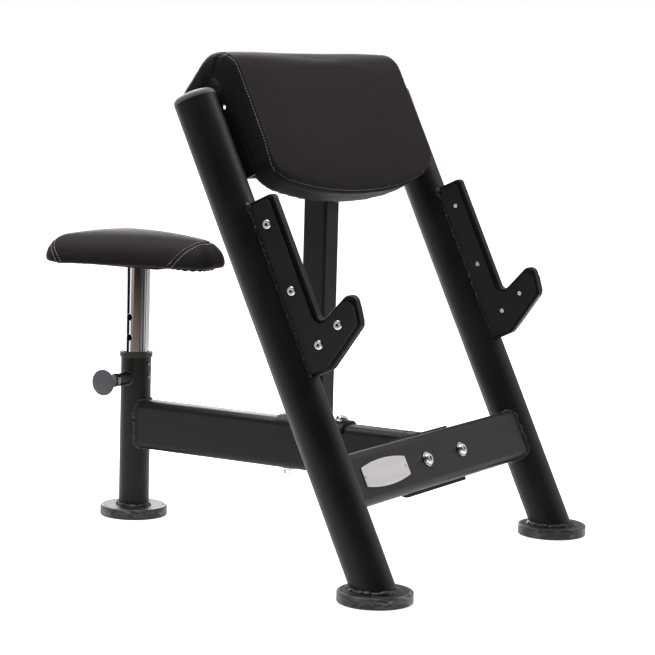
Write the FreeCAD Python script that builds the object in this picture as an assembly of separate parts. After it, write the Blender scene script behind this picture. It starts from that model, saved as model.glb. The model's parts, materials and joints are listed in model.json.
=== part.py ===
"""Preacher curl bench: a leaning two-post frame with a folded arm pad, bar rests and a height-set seat.

Millimetres, +Z up. The bench faces -Y: the bar rests are at the front and the seat is behind.
X is across the bench. The origin is on the floor, under the middle of the bench.
Most of the frame lies in a plane that leans back. Pieces in it are drawn upright, with
x across, y towards the back and z along the posts, and are then leaned with leaned().
"""
import FreeCAD
import Part
import math
import os

Vector = FreeCAD.Vector
AXIS_X = Vector(1, 0, 0)
AXIS_Z = Vector(0, 0, 1)
TO_FRONT = Vector(0, -1, 0)
TO_BACK = Vector(0, 1, 0)
TO_LEFT = Vector(-1, 0, 0)

# Feet: a steel disc let into a rubber cup under each of the three posts.
foot_pitch = 697.0
foot_diameter = 132.0
foot_height = 20.0
foot_edge = 3.0
foot_disc_diameter = 118.0
foot_disc_thickness = 6.0
foot_disc_clearance = 0.6
post_reach = 750.0

# Leaning posts.
upright_diameter = 76.0
upright_wall = 3.0
upright_lean = 25.3
upright_length = 921.0
cap_height = 12.0
cap_edge = 10.0
cap_plug_depth = 22.0
cap_plug_clearance = 0.2

# Flat-sided beams, one section for both.
beam_height = 96.0
beam_width = 50.0
beam_corner = 15.0
beam_wall = 3.0
cross_beam_rise = 207.6
main_beam_rise = 184.3

# Bare plate on the cross beam.
plate_inset = 131.5
plate_length = 154.0
plate_end_height = 34.0
plate_middle_height = 49.0
plate_corner = 3.0
plate_thickness = 1.5
plate_rivet_inset = 6.5
plate_rivet_radius = 1.5
plate_rivet_head_radius = 2.5
plate_rivet_head_height = 1.2

# Clamp plate at the front of the main beam and saddle plate under the centre post.
clamp_thickness = 6.0
clamp_wrap = 15.0
clamp_length = 220.0
clamp_bolt_pitch = 131.0
saddle_length = 146.0
saddle_bolt_pitch = 113.0

# Rounding of every screw, bolt and rivet head, as a share of its height.
head_round_share = 0.8

# Frame bolts, nuts and washers.
bolt_radius = 6.0
bolt_hole_clearance = 0.5
bolt_head_radius = 11.0
bolt_head_height = 6.5
bolt_socket_width = 8.0
bolt_socket_depth = 4.0
bolt_tail = 3.0
washer_radius = 13.5
washer_thickness = 2.5
nut_width = 19.0
nut_height = 10.0

# Centre post.
center_post_width = 50.0
center_post_corner = 6.0
center_post_wall = 3.0

# Bar rests. Heights along the post are from the bottom of the valley, depths are from the post's axis.
hook_plate_thickness = 8.0
hook_liner_thickness = 20.0
hook_inner_thickness = 4.0
hook_liner_proud = 6.9
hook_liner_tip_proud = 3.5
hook_liner_chin_proud = 5.5
hook_liner_edge = 4.0
hook_valley_rise = 463.8
hook_valley_radius = 18.0
hook_back_height = 244.2
hook_back_depth = 77.0
hook_heel_drop = 63.3
hook_tip_height = 35.2
hook_tip_depth = 164.0
hook_tip_radius = 14.0
hook_chin_drop = 16.8
hook_chin_depth = 155.0
hook_chin_radius = 12.0
hook_heel_depth = 73.0
hook_heel_radius = 15.0
hook_top_radius = 8.0
hook_screw_spots = [(203.2, 59.0), (80.7, 59.0), (-4.8, 122.0), (-22.8, 73.0)]
hook_screw_radius = 4.0
hook_screw_head_radius = 8.3
hook_screw_head_height = 2.8
hook_screw_socket_width = 6.0
hook_screw_socket_depth = 3.6
hook_screw_tip = 1.0

# Carrier behind the arm pad: a plate across the posts, with a bracket plate at each end of the pad.
carrier_thickness = 6.0
carrier_front = 20.0
carrier_drop = 34.0
carrier_height = 121.0
bracket_thickness = 6.0
bracket_gap = 1.5
bracket_front = 37.0
bracket_tab_front = 31.0
bracket_tab_height = 43.0
bracket_edge = 2.0
bracket_hole_radius = 4.5
bracket_hole_front = 24.0
bracket_hole_rise = 11.0
pad_bolt_radius = 4.0
pad_bolt_head_radius = 7.0
pad_bolt_head_height = 4.5
pad_bolt_socket_width = 5.0
pad_bolt_socket_depth = 3.0
pad_bolt_hole_clearance = 0.5
pad_bolt_pitch = 356.0
pad_bolt_inset = 22.0
pad_washer_radius = 9.0
pad_washer_thickness = 1.6
tee_nut_radius = 11.0
tee_nut_thickness = 1.5
tee_nut_barrel_radius = 5.5

# Arm pad, folded over at the top. Section sizes are from the posts' plane.
pad_length = 598.0
pad_face = 71.0
pad_crown = 6.0
pad_fold_crown = 1.0
pad_overhang = 63.0
pad_bottom_bow = 46.5
pad_bottom_power = 2.35
pad_bottom_corner = 50.0
pad_fold_angle = 60.0
pad_fold_rise = 143.0
pad_fold_radius = 45.0
pad_rear_thickness = 31.0
pad_rear_length = 158.0
pad_edge_length = 9.0
pad_edge_depth = 30.0
pad_arc_share = 0.85
pad_back_draw = 0.7
pad_back_gap = 0.5
pad_face_roll = 24.0
pad_back_roll = 10.0
pad_inner_radius = 10.0
pad_end_share = 0.42
pad_bottom_slope = 12.0
pad_corner_steps = 6
pad_corner_spread = 1.5
pad_middle_stations = [0.8, 0.6, 0.35]
front_board_thickness = 15.0
front_board_margin = 42.0
front_board_rise = 46.0
front_board_reach = 63.0
front_board_corner = 45.0
rear_board_thickness = 10.0
rear_board_start = 12.0
rear_board_margin = 18.0
strap_thickness = 3.0
strap_width = 40.0
strap_pitch = 320.0
strap_leg = 30.0

# Seat post, bush and the pull pin that sets the height.
seat_post_diameter = 60.0
seat_post_wall = 2.5
seat_post_top = 316.5
bush_flange_diameter = 65.0
bush_flange_height = 9.5
bush_depth = 100.0
bush_clearance = 0.08
bush_screw_radius = 2.5
bush_screw_head_radius = 4.5
bush_screw_head_height = 2.4
bush_screw_drops = [12.0, 37.5]
bush_screw_bite = 1.4
pin_rise = 275.5
pin_radius = 6.0
pin_clearance = 0.05
pin_hole_clearance = 0.5
pin_nose = 8.0
pin_nose_edge = 2.0
pin_travel = 12.0
pin_shoulder_radius = 8.6
pin_shoulder_width = 3.0
pin_stem_radius = 5.0
pin_seat_gap = 0.3
housing_radius = 12.5
housing_guide = 10.0
housing_length = 36.0
housing_chamber_radius = 9.2
lock_nut_width = 24.0
lock_nut_height = 10.0
knob_radius = 25.4
knob_rim = 4.0
knob_edge = 1.8
knob_dome = 3.4
knob_dome_radius = 15.0
knob_dome_rise = 2.8
knob_dome_round = 20.0
knob_flare = 11.0
knob_skirt_radius = 12.5
knob_skirt_height = 16.0
knob_skirt_edge = 1.0
knob_skirt_root = 4.0
knob_gap = 4.0
knob_socket_depth = 12.0
spring_wire_radius = 0.6
spring_radius = 7.2
spring_turns = 6
spring_end_gap = 0.3

# Seat: chrome tube, plate, board and cushion.
seat_tube_diameter = 50.0
seat_tube_wall = 2.5
seat_hole_pitch = 40.0
seat_holes_each_way = 3
seat_tube_tail = 6.5
seat_rise = 501.5
seat_plate_length = 170.0
seat_plate_width = 110.0
seat_plate_thickness = 5.0
seat_plate_corner = 12.0
seat_screw_radius = 3.0
seat_screw_head_radius = 6.0
seat_screw_head_height = 3.5
seat_screw_inset = 16.0
seat_screw_bite = 11.0
seat_board_thickness = 15.0
seat_board_margin = 17.0
seat_rear = 153.0
seat_nose = 188.0
seat_rear_width = 280.0
seat_nose_width = 80.0
seat_rear_corner = 45.0
seat_nose_corner = 34.0
seat_least_corner = 8.0
seat_underside = [(0.0, 5.0), (3.0, 1.5)]
seat_side_height = 7.0
seat_roll_width = 52.0
seat_roll_height = 49.0
seat_roll_steps = [0.0, 0.25, 0.45, 0.6, 0.73, 0.84, 0.92, 0.96]
seat_crown = [(2.2, 0.68), (3.6, 0.36)]
seat_cap_flange = 2.0
seat_cap_clearance = 0.2
seat_cap_pin_gap = 0.5

# Places worked out from the sizes above.
foot_radius = foot_diameter / 2
upright_radius = upright_diameter / 2
seat_post_radius = seat_post_diameter / 2
seat_post_bore = seat_post_radius - seat_post_wall
seat_tube_radius = seat_tube_diameter / 2
foot_line = foot_radius - (foot_radius + post_reach + seat_rear) / 2
seat_post_line = foot_line + post_reach
foot_disc_bottom = foot_height - foot_disc_thickness
upright_x = foot_pitch / 2
plate_offset = upright_x - plate_inset
lean_tan = math.tan(math.radians(upright_lean))
LEAN = FreeCAD.Placement(
    Vector(0, foot_line - foot_disc_bottom * lean_tan, 0),
    FreeCAD.Rotation(AXIS_X, -upright_lean),
)
beam_half_height = beam_height / 2
beam_half_width = beam_width / 2
clamp_back = beam_half_width + clamp_thickness
saddle_top = main_beam_rise + beam_half_height + clamp_thickness
hook_top = hook_valley_rise + hook_back_height
hook_bottom = hook_valley_rise - hook_heel_drop
hook_tip_rise = hook_valley_rise + hook_tip_height
hook_chin_rise = hook_valley_rise - hook_chin_drop
hook_outer = (hook_plate_thickness + hook_liner_thickness) / 2
hook_seam = hook_outer - hook_plate_thickness
hook_inner = hook_seam - hook_liner_thickness
hook_stack = hook_plate_thickness + hook_liner_thickness + hook_inner_thickness
carrier_back = carrier_front - carrier_thickness
carrier_top = upright_length - carrier_drop
carrier_bottom = carrier_top - carrier_height
bracket_tab_top = carrier_top + bracket_tab_height
pad_bottom = carrier_bottom - pad_overhang
pad_fold_top = carrier_top + pad_fold_rise
front_board_top = carrier_top + front_board_reach
center_post_line = LEAN.multVec(Vector(0, -carrier_back, carrier_top - carrier_height / 2)).y
bolt_hole = bolt_radius + bolt_hole_clearance
pad_bolt_hole = pad_bolt_radius + pad_bolt_hole_clearance
pin_hole = pin_radius + pin_hole_clearance
housing_end = seat_post_radius + housing_length
chamber_start = seat_post_radius + housing_guide
pin_end = seat_tube_radius - pin_nose
knob_start = housing_end + lock_nut_height + knob_gap
pad_half = pad_length / 2
same_point = 1e-6


def leaned(shape):
    """Tilt a shape that was drawn upright into the plane of the leaning posts."""
    moved = shape.copy()
    moved.Placement = LEAN.multiply(moved.Placement)
    return moved


def placed(shape, base, axis):
    """Turn a shape's own Z to an axis and move its origin to a point."""
    moved = shape.copy()
    turn = FreeCAD.Rotation(AXIS_Z, axis)
    moved.Placement = FreeCAD.Placement(base, turn).multiply(moved.Placement)
    return moved


def rounded_wire(corners, to_point):
    """Closed wire through (u, v, radius) corners, each rounded by a tangent arc."""
    flat = [Vector(u, v, 0) for u, v, radius in corners]
    count = len(corners)
    starts = []
    middles = []
    ends = []
    for i in range(count):
        here = flat[i]
        before = flat[i - 1].sub(here)
        after = flat[(i + 1) % count].sub(here)
        before.normalize()
        after.normalize()
        radius = corners[i][2]
        half = before.getAngle(after) / 2
        reach = radius / math.tan(half)
        inward = before.add(after)
        inward.normalize()
        starts.append(here.add(before.multiply(reach)))
        middles.append(here.add(inward.multiply(radius / math.sin(half) - radius)))
        ends.append(here.add(after.multiply(reach)))
    edges = []
    for i in range(count):
        a = to_point(starts[i].x, starts[i].y)
        b = to_point(middles[i].x, middles[i].y)
        c = to_point(ends[i].x, ends[i].y)
        follower = starts[(i + 1) % count]
        d = to_point(follower.x, follower.y)
        if corners[i][2] > 0:
            edges.append(Part.Arc(a, b, c).toShape())
        if c.distanceToPoint(d) > same_point:
            edges.append(Part.LineSegment(c, d).toShape())
    return Part.Wire(edges)


def prism(corners, to_point, sweep):
    """Solid swept from a rounded outline."""
    return Part.Face(rounded_wire(corners, to_point)).extrude(sweep)


def lathe(corners):
    """Solid turned about Z from a closed outline of (radius, height, rounding) corners."""
    outline = rounded_wire(corners, lambda u, v: Vector(u, 0, v))
    return Part.Face(outline).revolve(Vector(), AXIS_Z, 360)


def rod(radius, length, base, axis):
    """Plain cylinder."""
    return Part.makeCylinder(radius, length, base, axis)


def hexagon(width, height):
    """Hexagonal prism on the XY plane, its width across the flats."""
    reach = width / math.sqrt(3)
    points = []
    for i in range(6):
        turn = math.radians(60 * i)
        points.append(Vector(reach * math.cos(turn), reach * math.sin(turn), 0))
    points.append(points[0])
    return Part.Face(Part.makePolygon(points)).extrude(Vector(0, 0, height))


def button_screw(radius, length, head_radius, head_height, socket_width, socket_depth):
    """Round-headed socket screw: the head stands above Z = 0 and the shank goes down."""
    body = lathe([
        (0, -length, 0),
        (radius, -length, 0),
        (radius, 0, 0),
        (head_radius, 0, 0),
        (head_radius, head_height, head_height * head_round_share),
        (0, head_height, 0),
    ])
    socket = hexagon(socket_width, socket_depth)
    socket.translate(Vector(0, 0, head_height - socket_depth))
    return body.cut(socket)


def washer(radius, hole, thickness):
    """Flat ring on the XY plane."""
    return rod(radius, thickness, Vector(), AXIS_Z).cut(rod(hole, thickness, Vector(), AXIS_Z))


def hex_nut(width, height, hole):
    """Hexagonal nut on the XY plane."""
    return hexagon(width, height).cut(rod(hole, height, Vector(), AXIS_Z))


def beam_outline(grow):
    """Corners of the beams' flat-sided section, grown all round."""
    across = beam_half_width + grow
    along = beam_half_height + grow
    corner = beam_corner + grow
    return [
        (-across, -along, corner),
        (across, -along, corner),
        (across, along, corner),
        (-across, along, corner),
    ]


def beam_solid(grow, to_point, sweep):
    """Solid with the beams' section."""
    return prism(beam_outline(grow), to_point, sweep)


def cross_section_point(x):
    """Map section corners to the leaning cross beam's section at one x."""
    return lambda u, v: Vector(x, u, cross_beam_rise + v)


def main_section_point(y):
    """Map section corners to the main beam's section at one y."""
    return lambda u, v: Vector(u, y, main_beam_rise + v)


def upright_rod(side, radius):
    """Solid along a leaning post's axis, drawn upright, from below the floor."""
    start = Vector(side * upright_x, 0, -upright_radius)
    return rod(radius, upright_length + upright_radius, start, AXIS_Z)


def below_feet():
    """Block that fills everything under the tops of the foot discs."""
    reach = foot_pitch + foot_diameter
    corner = Vector(-reach, foot_line - reach, -reach)
    return Part.makeBox(2 * reach, 2 * reach, reach + foot_height, corner)


def upright_tube(side):
    """Leaning post tube, cut level where it stands on its foot disc."""
    wall = upright_rod(side, upright_radius).cut(upright_rod(side, upright_radius - upright_wall))
    return leaned(wall).cut(below_feet())


def upright_cap(side):
    """Domed plastic plug in a post's top end."""
    plug = upright_radius - upright_wall - cap_plug_clearance
    cap = lathe([
        (0, -cap_plug_depth, 0),
        (plug, -cap_plug_depth, 0),
        (plug, 0, 0),
        (upright_radius, 0, 0),
        (upright_radius, cap_height, cap_edge),
        (0, cap_height, 0),
    ])
    cap.translate(Vector(side * upright_x, 0, upright_length))
    return leaned(cap)


def foot_disc(x, y, clearance=0):
    """Steel disc welded under a post, or the seat for one with a gap round it."""
    radius = foot_disc_diameter / 2 + clearance
    return rod(radius, foot_disc_thickness, Vector(x, y, foot_disc_bottom), AXIS_Z)


def rubber_foot(x, y):
    """Rubber cup that takes the disc and stands on the floor."""
    cup = lathe([
        (0, 0, 0),
        (foot_radius, 0, foot_edge),
        (foot_radius, foot_height, foot_edge),
        (0, foot_height, 0),
    ])
    cup.translate(Vector(x, y, 0))
    return cup.cut(foot_disc(x, y, foot_disc_clearance))


def cross_bolt_spots():
    """Centres of the two clamp bolts on the cross beam's axis."""
    return [Vector(side * clamp_bolt_pitch / 2, 0, cross_beam_rise) for side in (-1, 1)]


def rivet_spots():
    """Centres of the bare plate's rivets on the cross beam's front face."""
    reach = plate_length / 2 - plate_rivet_inset
    return [Vector(-plate_offset + side * reach, -beam_half_width, cross_beam_rise) for side in (-1, 1)]


def cross_beam():
    """Flat-sided tube between the leaning posts, fitted to them at both ends."""
    sweep = Vector(foot_pitch, 0, 0)
    beam = beam_solid(0, cross_section_point(-upright_x), sweep)
    beam = beam.cut(beam_solid(-beam_wall, cross_section_point(-upright_x), sweep))
    for side in (-1, 1):
        beam = beam.cut(upright_rod(side, upright_radius))
    for spot in cross_bolt_spots():
        start = spot.add(Vector(0, -beam_half_width, 0))
        beam = beam.cut(rod(bolt_hole, beam_width, start, TO_BACK))
    for spot in rivet_spots():
        beam = beam.cut(rod(plate_rivet_radius, beam_wall, spot, TO_BACK))
    return leaned(beam)


def name_plate():
    """Bare barrel-shaped plate on the cross beam's front face."""
    half = plate_length / 2
    end = plate_end_height / 2
    middle = plate_middle_height / 2
    face = -beam_half_width
    points = [(-half, end), (0, middle), (half, end), (half, -end), (0, -middle), (-half, -end)]
    spots = [Vector(u - plate_offset, face, cross_beam_rise + v) for u, v in points]
    edges = [
        Part.Arc(spots[0], spots[1], spots[2]).toShape(),
        Part.LineSegment(spots[2], spots[3]).toShape(),
        Part.Arc(spots[3], spots[4], spots[5]).toShape(),
        Part.LineSegment(spots[5], spots[0]).toShape(),
    ]
    plate = Part.Face(Part.Wire(edges)).extrude(TO_FRONT * plate_thickness)
    corners = [e for e in plate.Edges if e.BoundBox.YLength > plate_thickness / 2]
    plate = plate.makeFillet(plate_corner, corners)
    for spot in rivet_spots():
        plate = plate.cut(rod(plate_rivet_radius, plate_thickness, spot, TO_FRONT))
    return leaned(plate)


def name_plate_rivets():
    """Two small round-headed rivets that hold the bare plate."""
    rivets = []
    for spot in rivet_spots():
        rivet = lathe([
            (0, -plate_thickness - beam_wall, 0),
            (plate_rivet_radius, -plate_thickness - beam_wall, 0),
            (plate_rivet_radius, 0, 0),
            (plate_rivet_head_radius, 0, 0),
            (plate_rivet_head_radius, plate_rivet_head_height, plate_rivet_head_height * head_round_share),
            (0, plate_rivet_head_height, 0),
        ])
        base = spot.add(TO_FRONT * plate_thickness)
        rivets.append(leaned(placed(rivet, base, TO_FRONT)))
    return Part.makeCompound(rivets)


def beam_clamp():
    """Plate bent round the back of the cross beam, welded to the main beam's front end."""
    sweep = Vector(clamp_length, 0, 0)
    start = -clamp_length / 2
    shell = beam_solid(clamp_thickness, cross_section_point(start), sweep)
    shell = shell.cut(beam_solid(0, cross_section_point(start), sweep))
    open_side = beam_half_width - clamp_wrap
    depth = open_side + beam_half_width + clamp_thickness
    height = beam_height + 2 * clamp_thickness
    corner = Vector(start, open_side - depth, cross_beam_rise - height / 2)
    clamp = shell.cut(Part.makeBox(clamp_length, depth, height, corner))
    for spot in cross_bolt_spots():
        clamp = clamp.cut(rod(bolt_hole, clamp_back, spot, TO_BACK))
    return leaned(clamp)


def cross_beam_bolts():
    """Socket bolts through the cross beam and its clamp, heads to the front."""
    length = washer_thickness + beam_width + clamp_thickness + washer_thickness + nut_height + bolt_tail
    bolt = button_screw(
        bolt_radius, length, bolt_head_radius, bolt_head_height, bolt_socket_width, bolt_socket_depth
    )
    front = Vector(0, -beam_half_width - washer_thickness, 0)
    bolts = [leaned(placed(bolt, spot.add(front), TO_FRONT)) for spot in cross_bolt_spots()]
    return Part.makeCompound(bolts)


def cross_beam_washers():
    """Washers under the bolt heads and under the nuts."""
    ring = washer(washer_radius, bolt_radius, washer_thickness)
    rings = []
    for spot in cross_bolt_spots():
        front = spot.add(Vector(0, -beam_half_width, 0))
        back = spot.add(Vector(0, clamp_back, 0))
        rings.append(leaned(placed(ring, front, TO_FRONT)))
        rings.append(leaned(placed(ring, back, TO_BACK)))
    return Part.makeCompound(rings)


def cross_beam_nuts():
    """Nuts behind the clamp."""
    nut = hex_nut(nut_width, nut_height, bolt_radius)
    back = Vector(0, clamp_back + washer_thickness, 0)
    return Part.makeCompound([leaned(placed(nut, spot.add(back), TO_BACK)) for spot in cross_bolt_spots()])


def saddle_bolt_spots():
    """Centres of the saddle bolts at the main beam's middle height."""
    reach = saddle_bolt_pitch / 2
    return [Vector(0, center_post_line + side * reach, main_beam_rise) for side in (-1, 1)]


def main_beam():
    """Flat-sided tube from the cross beam's clamp back to the seat post."""
    sweep = Vector(0, post_reach, 0)
    point = main_section_point(foot_line)
    beam = beam_solid(0, point, sweep).cut(beam_solid(-beam_wall, point, sweep))
    height = cross_beam_rise + beam_half_height + clamp_thickness
    reach = post_reach
    corner = Vector(-beam_half_width, clamp_back - reach, -reach)
    block = Part.makeBox(beam_width, reach, height + reach, corner)
    beam = beam.cut(leaned(block))
    beam = beam.cut(rod(seat_post_radius, seat_post_top, Vector(0, seat_post_line, 0), AXIS_Z))
    for spot in saddle_bolt_spots():
        start = spot.add(Vector(0, 0, -beam_half_height))
        beam = beam.cut(rod(bolt_hole, beam_height, start, AXIS_Z))
    return beam


def post_saddle():
    """Plate bent over the top of the main beam, under the centre post."""
    start = center_post_line - saddle_length / 2
    sweep = Vector(0, saddle_length, 0)
    shell = beam_solid(clamp_thickness, main_section_point(start), sweep)
    shell = shell.cut(beam_solid(0, main_section_point(start), sweep))
    width = beam_width + 2 * clamp_thickness
    height = beam_height + clamp_thickness - clamp_wrap
    corner = Vector(-width / 2, start, main_beam_rise - beam_half_height - clamp_thickness)
    saddle = shell.cut(Part.makeBox(width, saddle_length, height, corner))
    for spot in saddle_bolt_spots():
        saddle = saddle.cut(rod(bolt_hole, saddle_top, spot, AXIS_Z))
    return saddle


def saddle_bolts():
    """Socket bolts down through the saddle and the main beam."""
    length = washer_thickness + clamp_thickness + beam_height + washer_thickness + nut_height + bolt_tail
    bolt = button_screw(
        bolt_radius, length, bolt_head_radius, bolt_head_height, bolt_socket_width, bolt_socket_depth
    )
    bolts = []
    for spot in saddle_bolt_spots():
        bolts.append(placed(bolt, Vector(spot.x, spot.y, saddle_top + washer_thickness), AXIS_Z))
    return Part.makeCompound(bolts)


def saddle_washers():
    """Washers under the saddle bolts' heads and nuts."""
    ring = washer(washer_radius, bolt_radius, washer_thickness)
    low = main_beam_rise - beam_half_height - washer_thickness
    rings = []
    for spot in saddle_bolt_spots():
        rings.append(placed(ring, Vector(spot.x, spot.y, saddle_top), AXIS_Z))
        rings.append(placed(ring, Vector(spot.x, spot.y, low), AXIS_Z))
    return Part.makeCompound(rings)


def saddle_nuts():
    """Nuts under the main beam."""
    nut = hex_nut(nut_width, nut_height, bolt_radius)
    low = main_beam_rise - beam_half_height - washer_thickness - nut_height
    nuts = [placed(nut, Vector(spot.x, spot.y, low), AXIS_Z) for spot in saddle_bolt_spots()]
    return Part.makeCompound(nuts)


def square_tube_solid(width, corner, base, height):
    """Upright prism with a rounded square section."""
    half = width / 2
    corners = [(-half, -half, corner), (half, -half, corner), (half, half, corner), (-half, half, corner)]
    return prism(corners, lambda u, v: Vector(base.x + u, base.y + v, base.z), Vector(0, 0, height))


def center_post():
    """Square tube from the saddle up to the back of the pad carrier, cut to its slope."""
    base = Vector(0, center_post_line, saddle_top)
    inner_width = center_post_width - 2 * center_post_wall
    inner_corner = center_post_corner - center_post_wall
    tube = square_tube_solid(center_post_width, center_post_corner, base, upright_length)
    tube = tube.cut(square_tube_solid(inner_width, inner_corner, base, upright_length))
    reach = upright_length
    block = Part.makeBox(2 * reach, 2 * reach, 3 * reach, Vector(-reach, -carrier_back - 2 * reach, -reach))
    above = leaned(block)
    return tube.cut(above)


def hook_corners():
    """Outline of a bar rest as (along the post, out from its axis, rounding)."""
    return [
        (hook_bottom, 0, 0),
        (hook_top, 0, 0),
        (hook_top, hook_back_depth, hook_top_radius),
        (hook_valley_rise, hook_back_depth, hook_valley_radius),
        (hook_tip_rise, hook_tip_depth, hook_tip_radius),
        (hook_chin_rise, hook_chin_depth, hook_chin_radius),
        (hook_bottom, hook_heel_depth, hook_heel_radius),
    ]


def hook_liner_corners():
    """Outline of a bar rest's liner: each edge of the plate's outline but the post's is moved out."""
    rims = [
        0,
        hook_liner_proud,
        hook_liner_proud,
        hook_liner_proud,
        hook_liner_tip_proud,
        hook_liner_chin_proud,
        hook_liner_chin_proud,
    ]
    corners = hook_corners()
    lines = []
    for here, there, rim in zip(corners, corners[1:] + corners[:1], rims):
        step = Vector(there[0] - here[0], there[1] - here[1], 0).normalize()
        out = Vector(step.y, -step.x, 0)
        lines.append((Vector(here[0], here[1], 0) + out * rim, step))
    grown = []
    for (start, step), (other, way), corner in zip(lines[-1:] + lines[:-1], lines, corners):
        gap = other - start
        reach = (gap.x * way.y - gap.y * way.x) / (step.x * way.y - step.y * way.x)
        spot = start + step * reach
        rounding = corner[2]
        if corner[0] == hook_valley_rise:
            rounding -= hook_liner_proud
        grown.append((spot.x, spot.y, rounding))
    return grown


def hook_layer(side, out, thickness, corners):
    """One flat layer of a bar rest, fitted to its post; out is its outer face from the post's axis."""
    x = side * (upright_x + out)
    layer = prism(
        corners,
        lambda u, v: Vector(x, -v, u),
        Vector(-side * thickness, 0, 0),
    )
    return layer.cut(upright_rod(side, upright_radius))


def hook_holes(side, layer):
    """Drill a layer of a bar rest for its screws."""
    for along, away in hook_screw_spots:
        start = Vector(side * (upright_x + hook_outer), -away, hook_valley_rise + along)
        layer = layer.cut(rod(hook_screw_radius, hook_stack, start, Vector(-side, 0, 0)))
    return layer


def hook_plate(side):
    """Steel outer plate of a bar rest, welded to the post."""
    layer = hook_layer(side, hook_outer, hook_plate_thickness, hook_corners())
    return leaned(hook_holes(side, layer))


def hook_inner_plate(side):
    """Thinner steel plate on the inner side of a bar rest, welded to the post."""
    layer = hook_layer(side, hook_inner, hook_inner_thickness, hook_corners())
    return leaned(hook_holes(side, layer))


def hook_liner(side):
    """Plastic layer between the two plates that the bar rests on, proud of both plates all round."""
    layer = hook_layer(side, hook_seam, hook_liner_thickness, hook_liner_corners())
    rim = []
    for edge in layer.Edges:
        box = edge.BoundBox
        if box.XLength < hook_liner_edge and box.YMax < -upright_radius:
            rim.append(edge)
    layer = layer.makeFillet(hook_liner_edge, rim)
    return leaned(hook_holes(side, layer))


def hook_screws(side):
    """Round-headed screws from the outer plate through the liner and the inner plate."""
    length = hook_stack + hook_screw_tip
    screw = button_screw(
        hook_screw_radius,
        length,
        hook_screw_head_radius,
        hook_screw_head_height,
        hook_screw_socket_width,
        hook_screw_socket_depth,
    )
    screws = []
    for along, away in hook_screw_spots:
        base = Vector(side * (upright_x + hook_outer), -away, hook_valley_rise + along)
        screws.append(leaned(placed(screw, base, Vector(side, 0, 0))))
    return Part.makeCompound(screws)


def pad_bolt_spots():
    """Centres of the arm pad's bolts on the carrier's back face."""
    spots = []
    for side in (-1, 1):
        for rise in (carrier_bottom + pad_bolt_inset, carrier_top - pad_bolt_inset):
            spots.append(Vector(side * pad_bolt_pitch / 2, -carrier_back, rise))
    return spots


def pad_carrier():
    """Plate across the posts that the arm pad is bolted to."""
    corner = Vector(-upright_x, -carrier_front, carrier_bottom)
    plate = Part.makeBox(foot_pitch, carrier_thickness, carrier_top - carrier_bottom, corner)
    for side in (-1, 1):
        plate = plate.cut(upright_rod(side, upright_radius))
    for spot in pad_bolt_spots():
        plate = plate.cut(rod(pad_bolt_hole, carrier_thickness, spot, TO_FRONT))
    return leaned(plate)


def pad_bracket(side):
    """Plate beside an end of the arm pad, on the carrier, with a tab and its spare hole at the top."""
    x = side * (pad_half + bracket_gap)
    outline = [
        (carrier_bottom, carrier_front, 0),
        (carrier_bottom, bracket_front, bracket_edge),
        (carrier_top, bracket_front, bracket_edge),
        (carrier_top, bracket_tab_front, 0),
        (bracket_tab_top, bracket_tab_front, bracket_edge),
        (bracket_tab_top, carrier_back, bracket_edge),
        (carrier_top, carrier_back, 0),
        (carrier_top, carrier_front, 0),
    ]
    across = Vector(side, 0, 0)
    plate = prism(outline, lambda u, v: Vector(x, -v, u), across * bracket_thickness)
    spare = Vector(x, -bracket_hole_front, carrier_top + bracket_hole_rise)
    return leaned(plate.cut(rod(bracket_hole_radius, bracket_thickness, spare, across)))


def pad_bolts():
    """Bolts from behind the carrier into the arm pad's front board."""
    length = pad_washer_thickness + carrier_thickness + front_board_thickness - tee_nut_thickness
    bolt = button_screw(
        pad_bolt_radius,
        length,
        pad_bolt_head_radius,
        pad_bolt_head_height,
        pad_bolt_socket_width,
        pad_bolt_socket_depth,
    )
    back = Vector(0, pad_washer_thickness, 0)
    return Part.makeCompound([leaned(placed(bolt, spot.add(back), TO_BACK)) for spot in pad_bolt_spots()])


def pad_washers():
    """Washers under the arm pad's bolts."""
    ring = washer(pad_washer_radius, pad_bolt_radius, pad_washer_thickness)
    return Part.makeCompound([leaned(placed(ring, spot, TO_BACK)) for spot in pad_bolt_spots()])


def tee_nut():
    """Flanged nut, its flange above Z = 0 and its barrel below."""
    depth = front_board_thickness - tee_nut_thickness
    flange = rod(tee_nut_radius, tee_nut_thickness, Vector(), AXIS_Z)
    barrel = rod(tee_nut_barrel_radius, depth, Vector(0, 0, -depth), AXIS_Z)
    bore = rod(pad_bolt_radius, depth, Vector(0, 0, -depth), AXIS_Z)
    return flange.fuse(barrel).cut(bore)


def pad_tee_nuts():
    """Flanged nuts in the front board that take the arm pad's bolts."""
    rise = Vector(0, -carrier_thickness - front_board_thickness + tee_nut_thickness, 0)
    nut = tee_nut()
    return Part.makeCompound([leaned(placed(nut, spot.add(rise), TO_FRONT)) for spot in pad_bolt_spots()])


def front_board_block():
    """Front board without its holes, drawn upright."""
    half = pad_half - front_board_margin
    low = pad_bottom + front_board_rise
    corners = [
        (-half, low, front_board_corner),
        (half, low, front_board_corner),
        (half, front_board_top, 0),
        (-half, front_board_top, 0),
    ]
    return prism(corners, lambda u, v: Vector(u, -carrier_front, v), TO_FRONT * front_board_thickness)


def front_board():
    """Plywood board in the arm pad's front leg."""
    board = front_board_block()
    depth = front_board_thickness
    for spot in pad_bolt_spots():
        start = Vector(spot.x, -carrier_front, spot.z)
        flange_start = start.add(TO_FRONT * (depth - tee_nut_thickness))
        board = board.cut(rod(tee_nut_barrel_radius, depth, start, TO_FRONT))
        board = board.cut(rod(tee_nut_radius, tee_nut_thickness, flange_start, TO_FRONT))
    return leaned(board)


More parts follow.
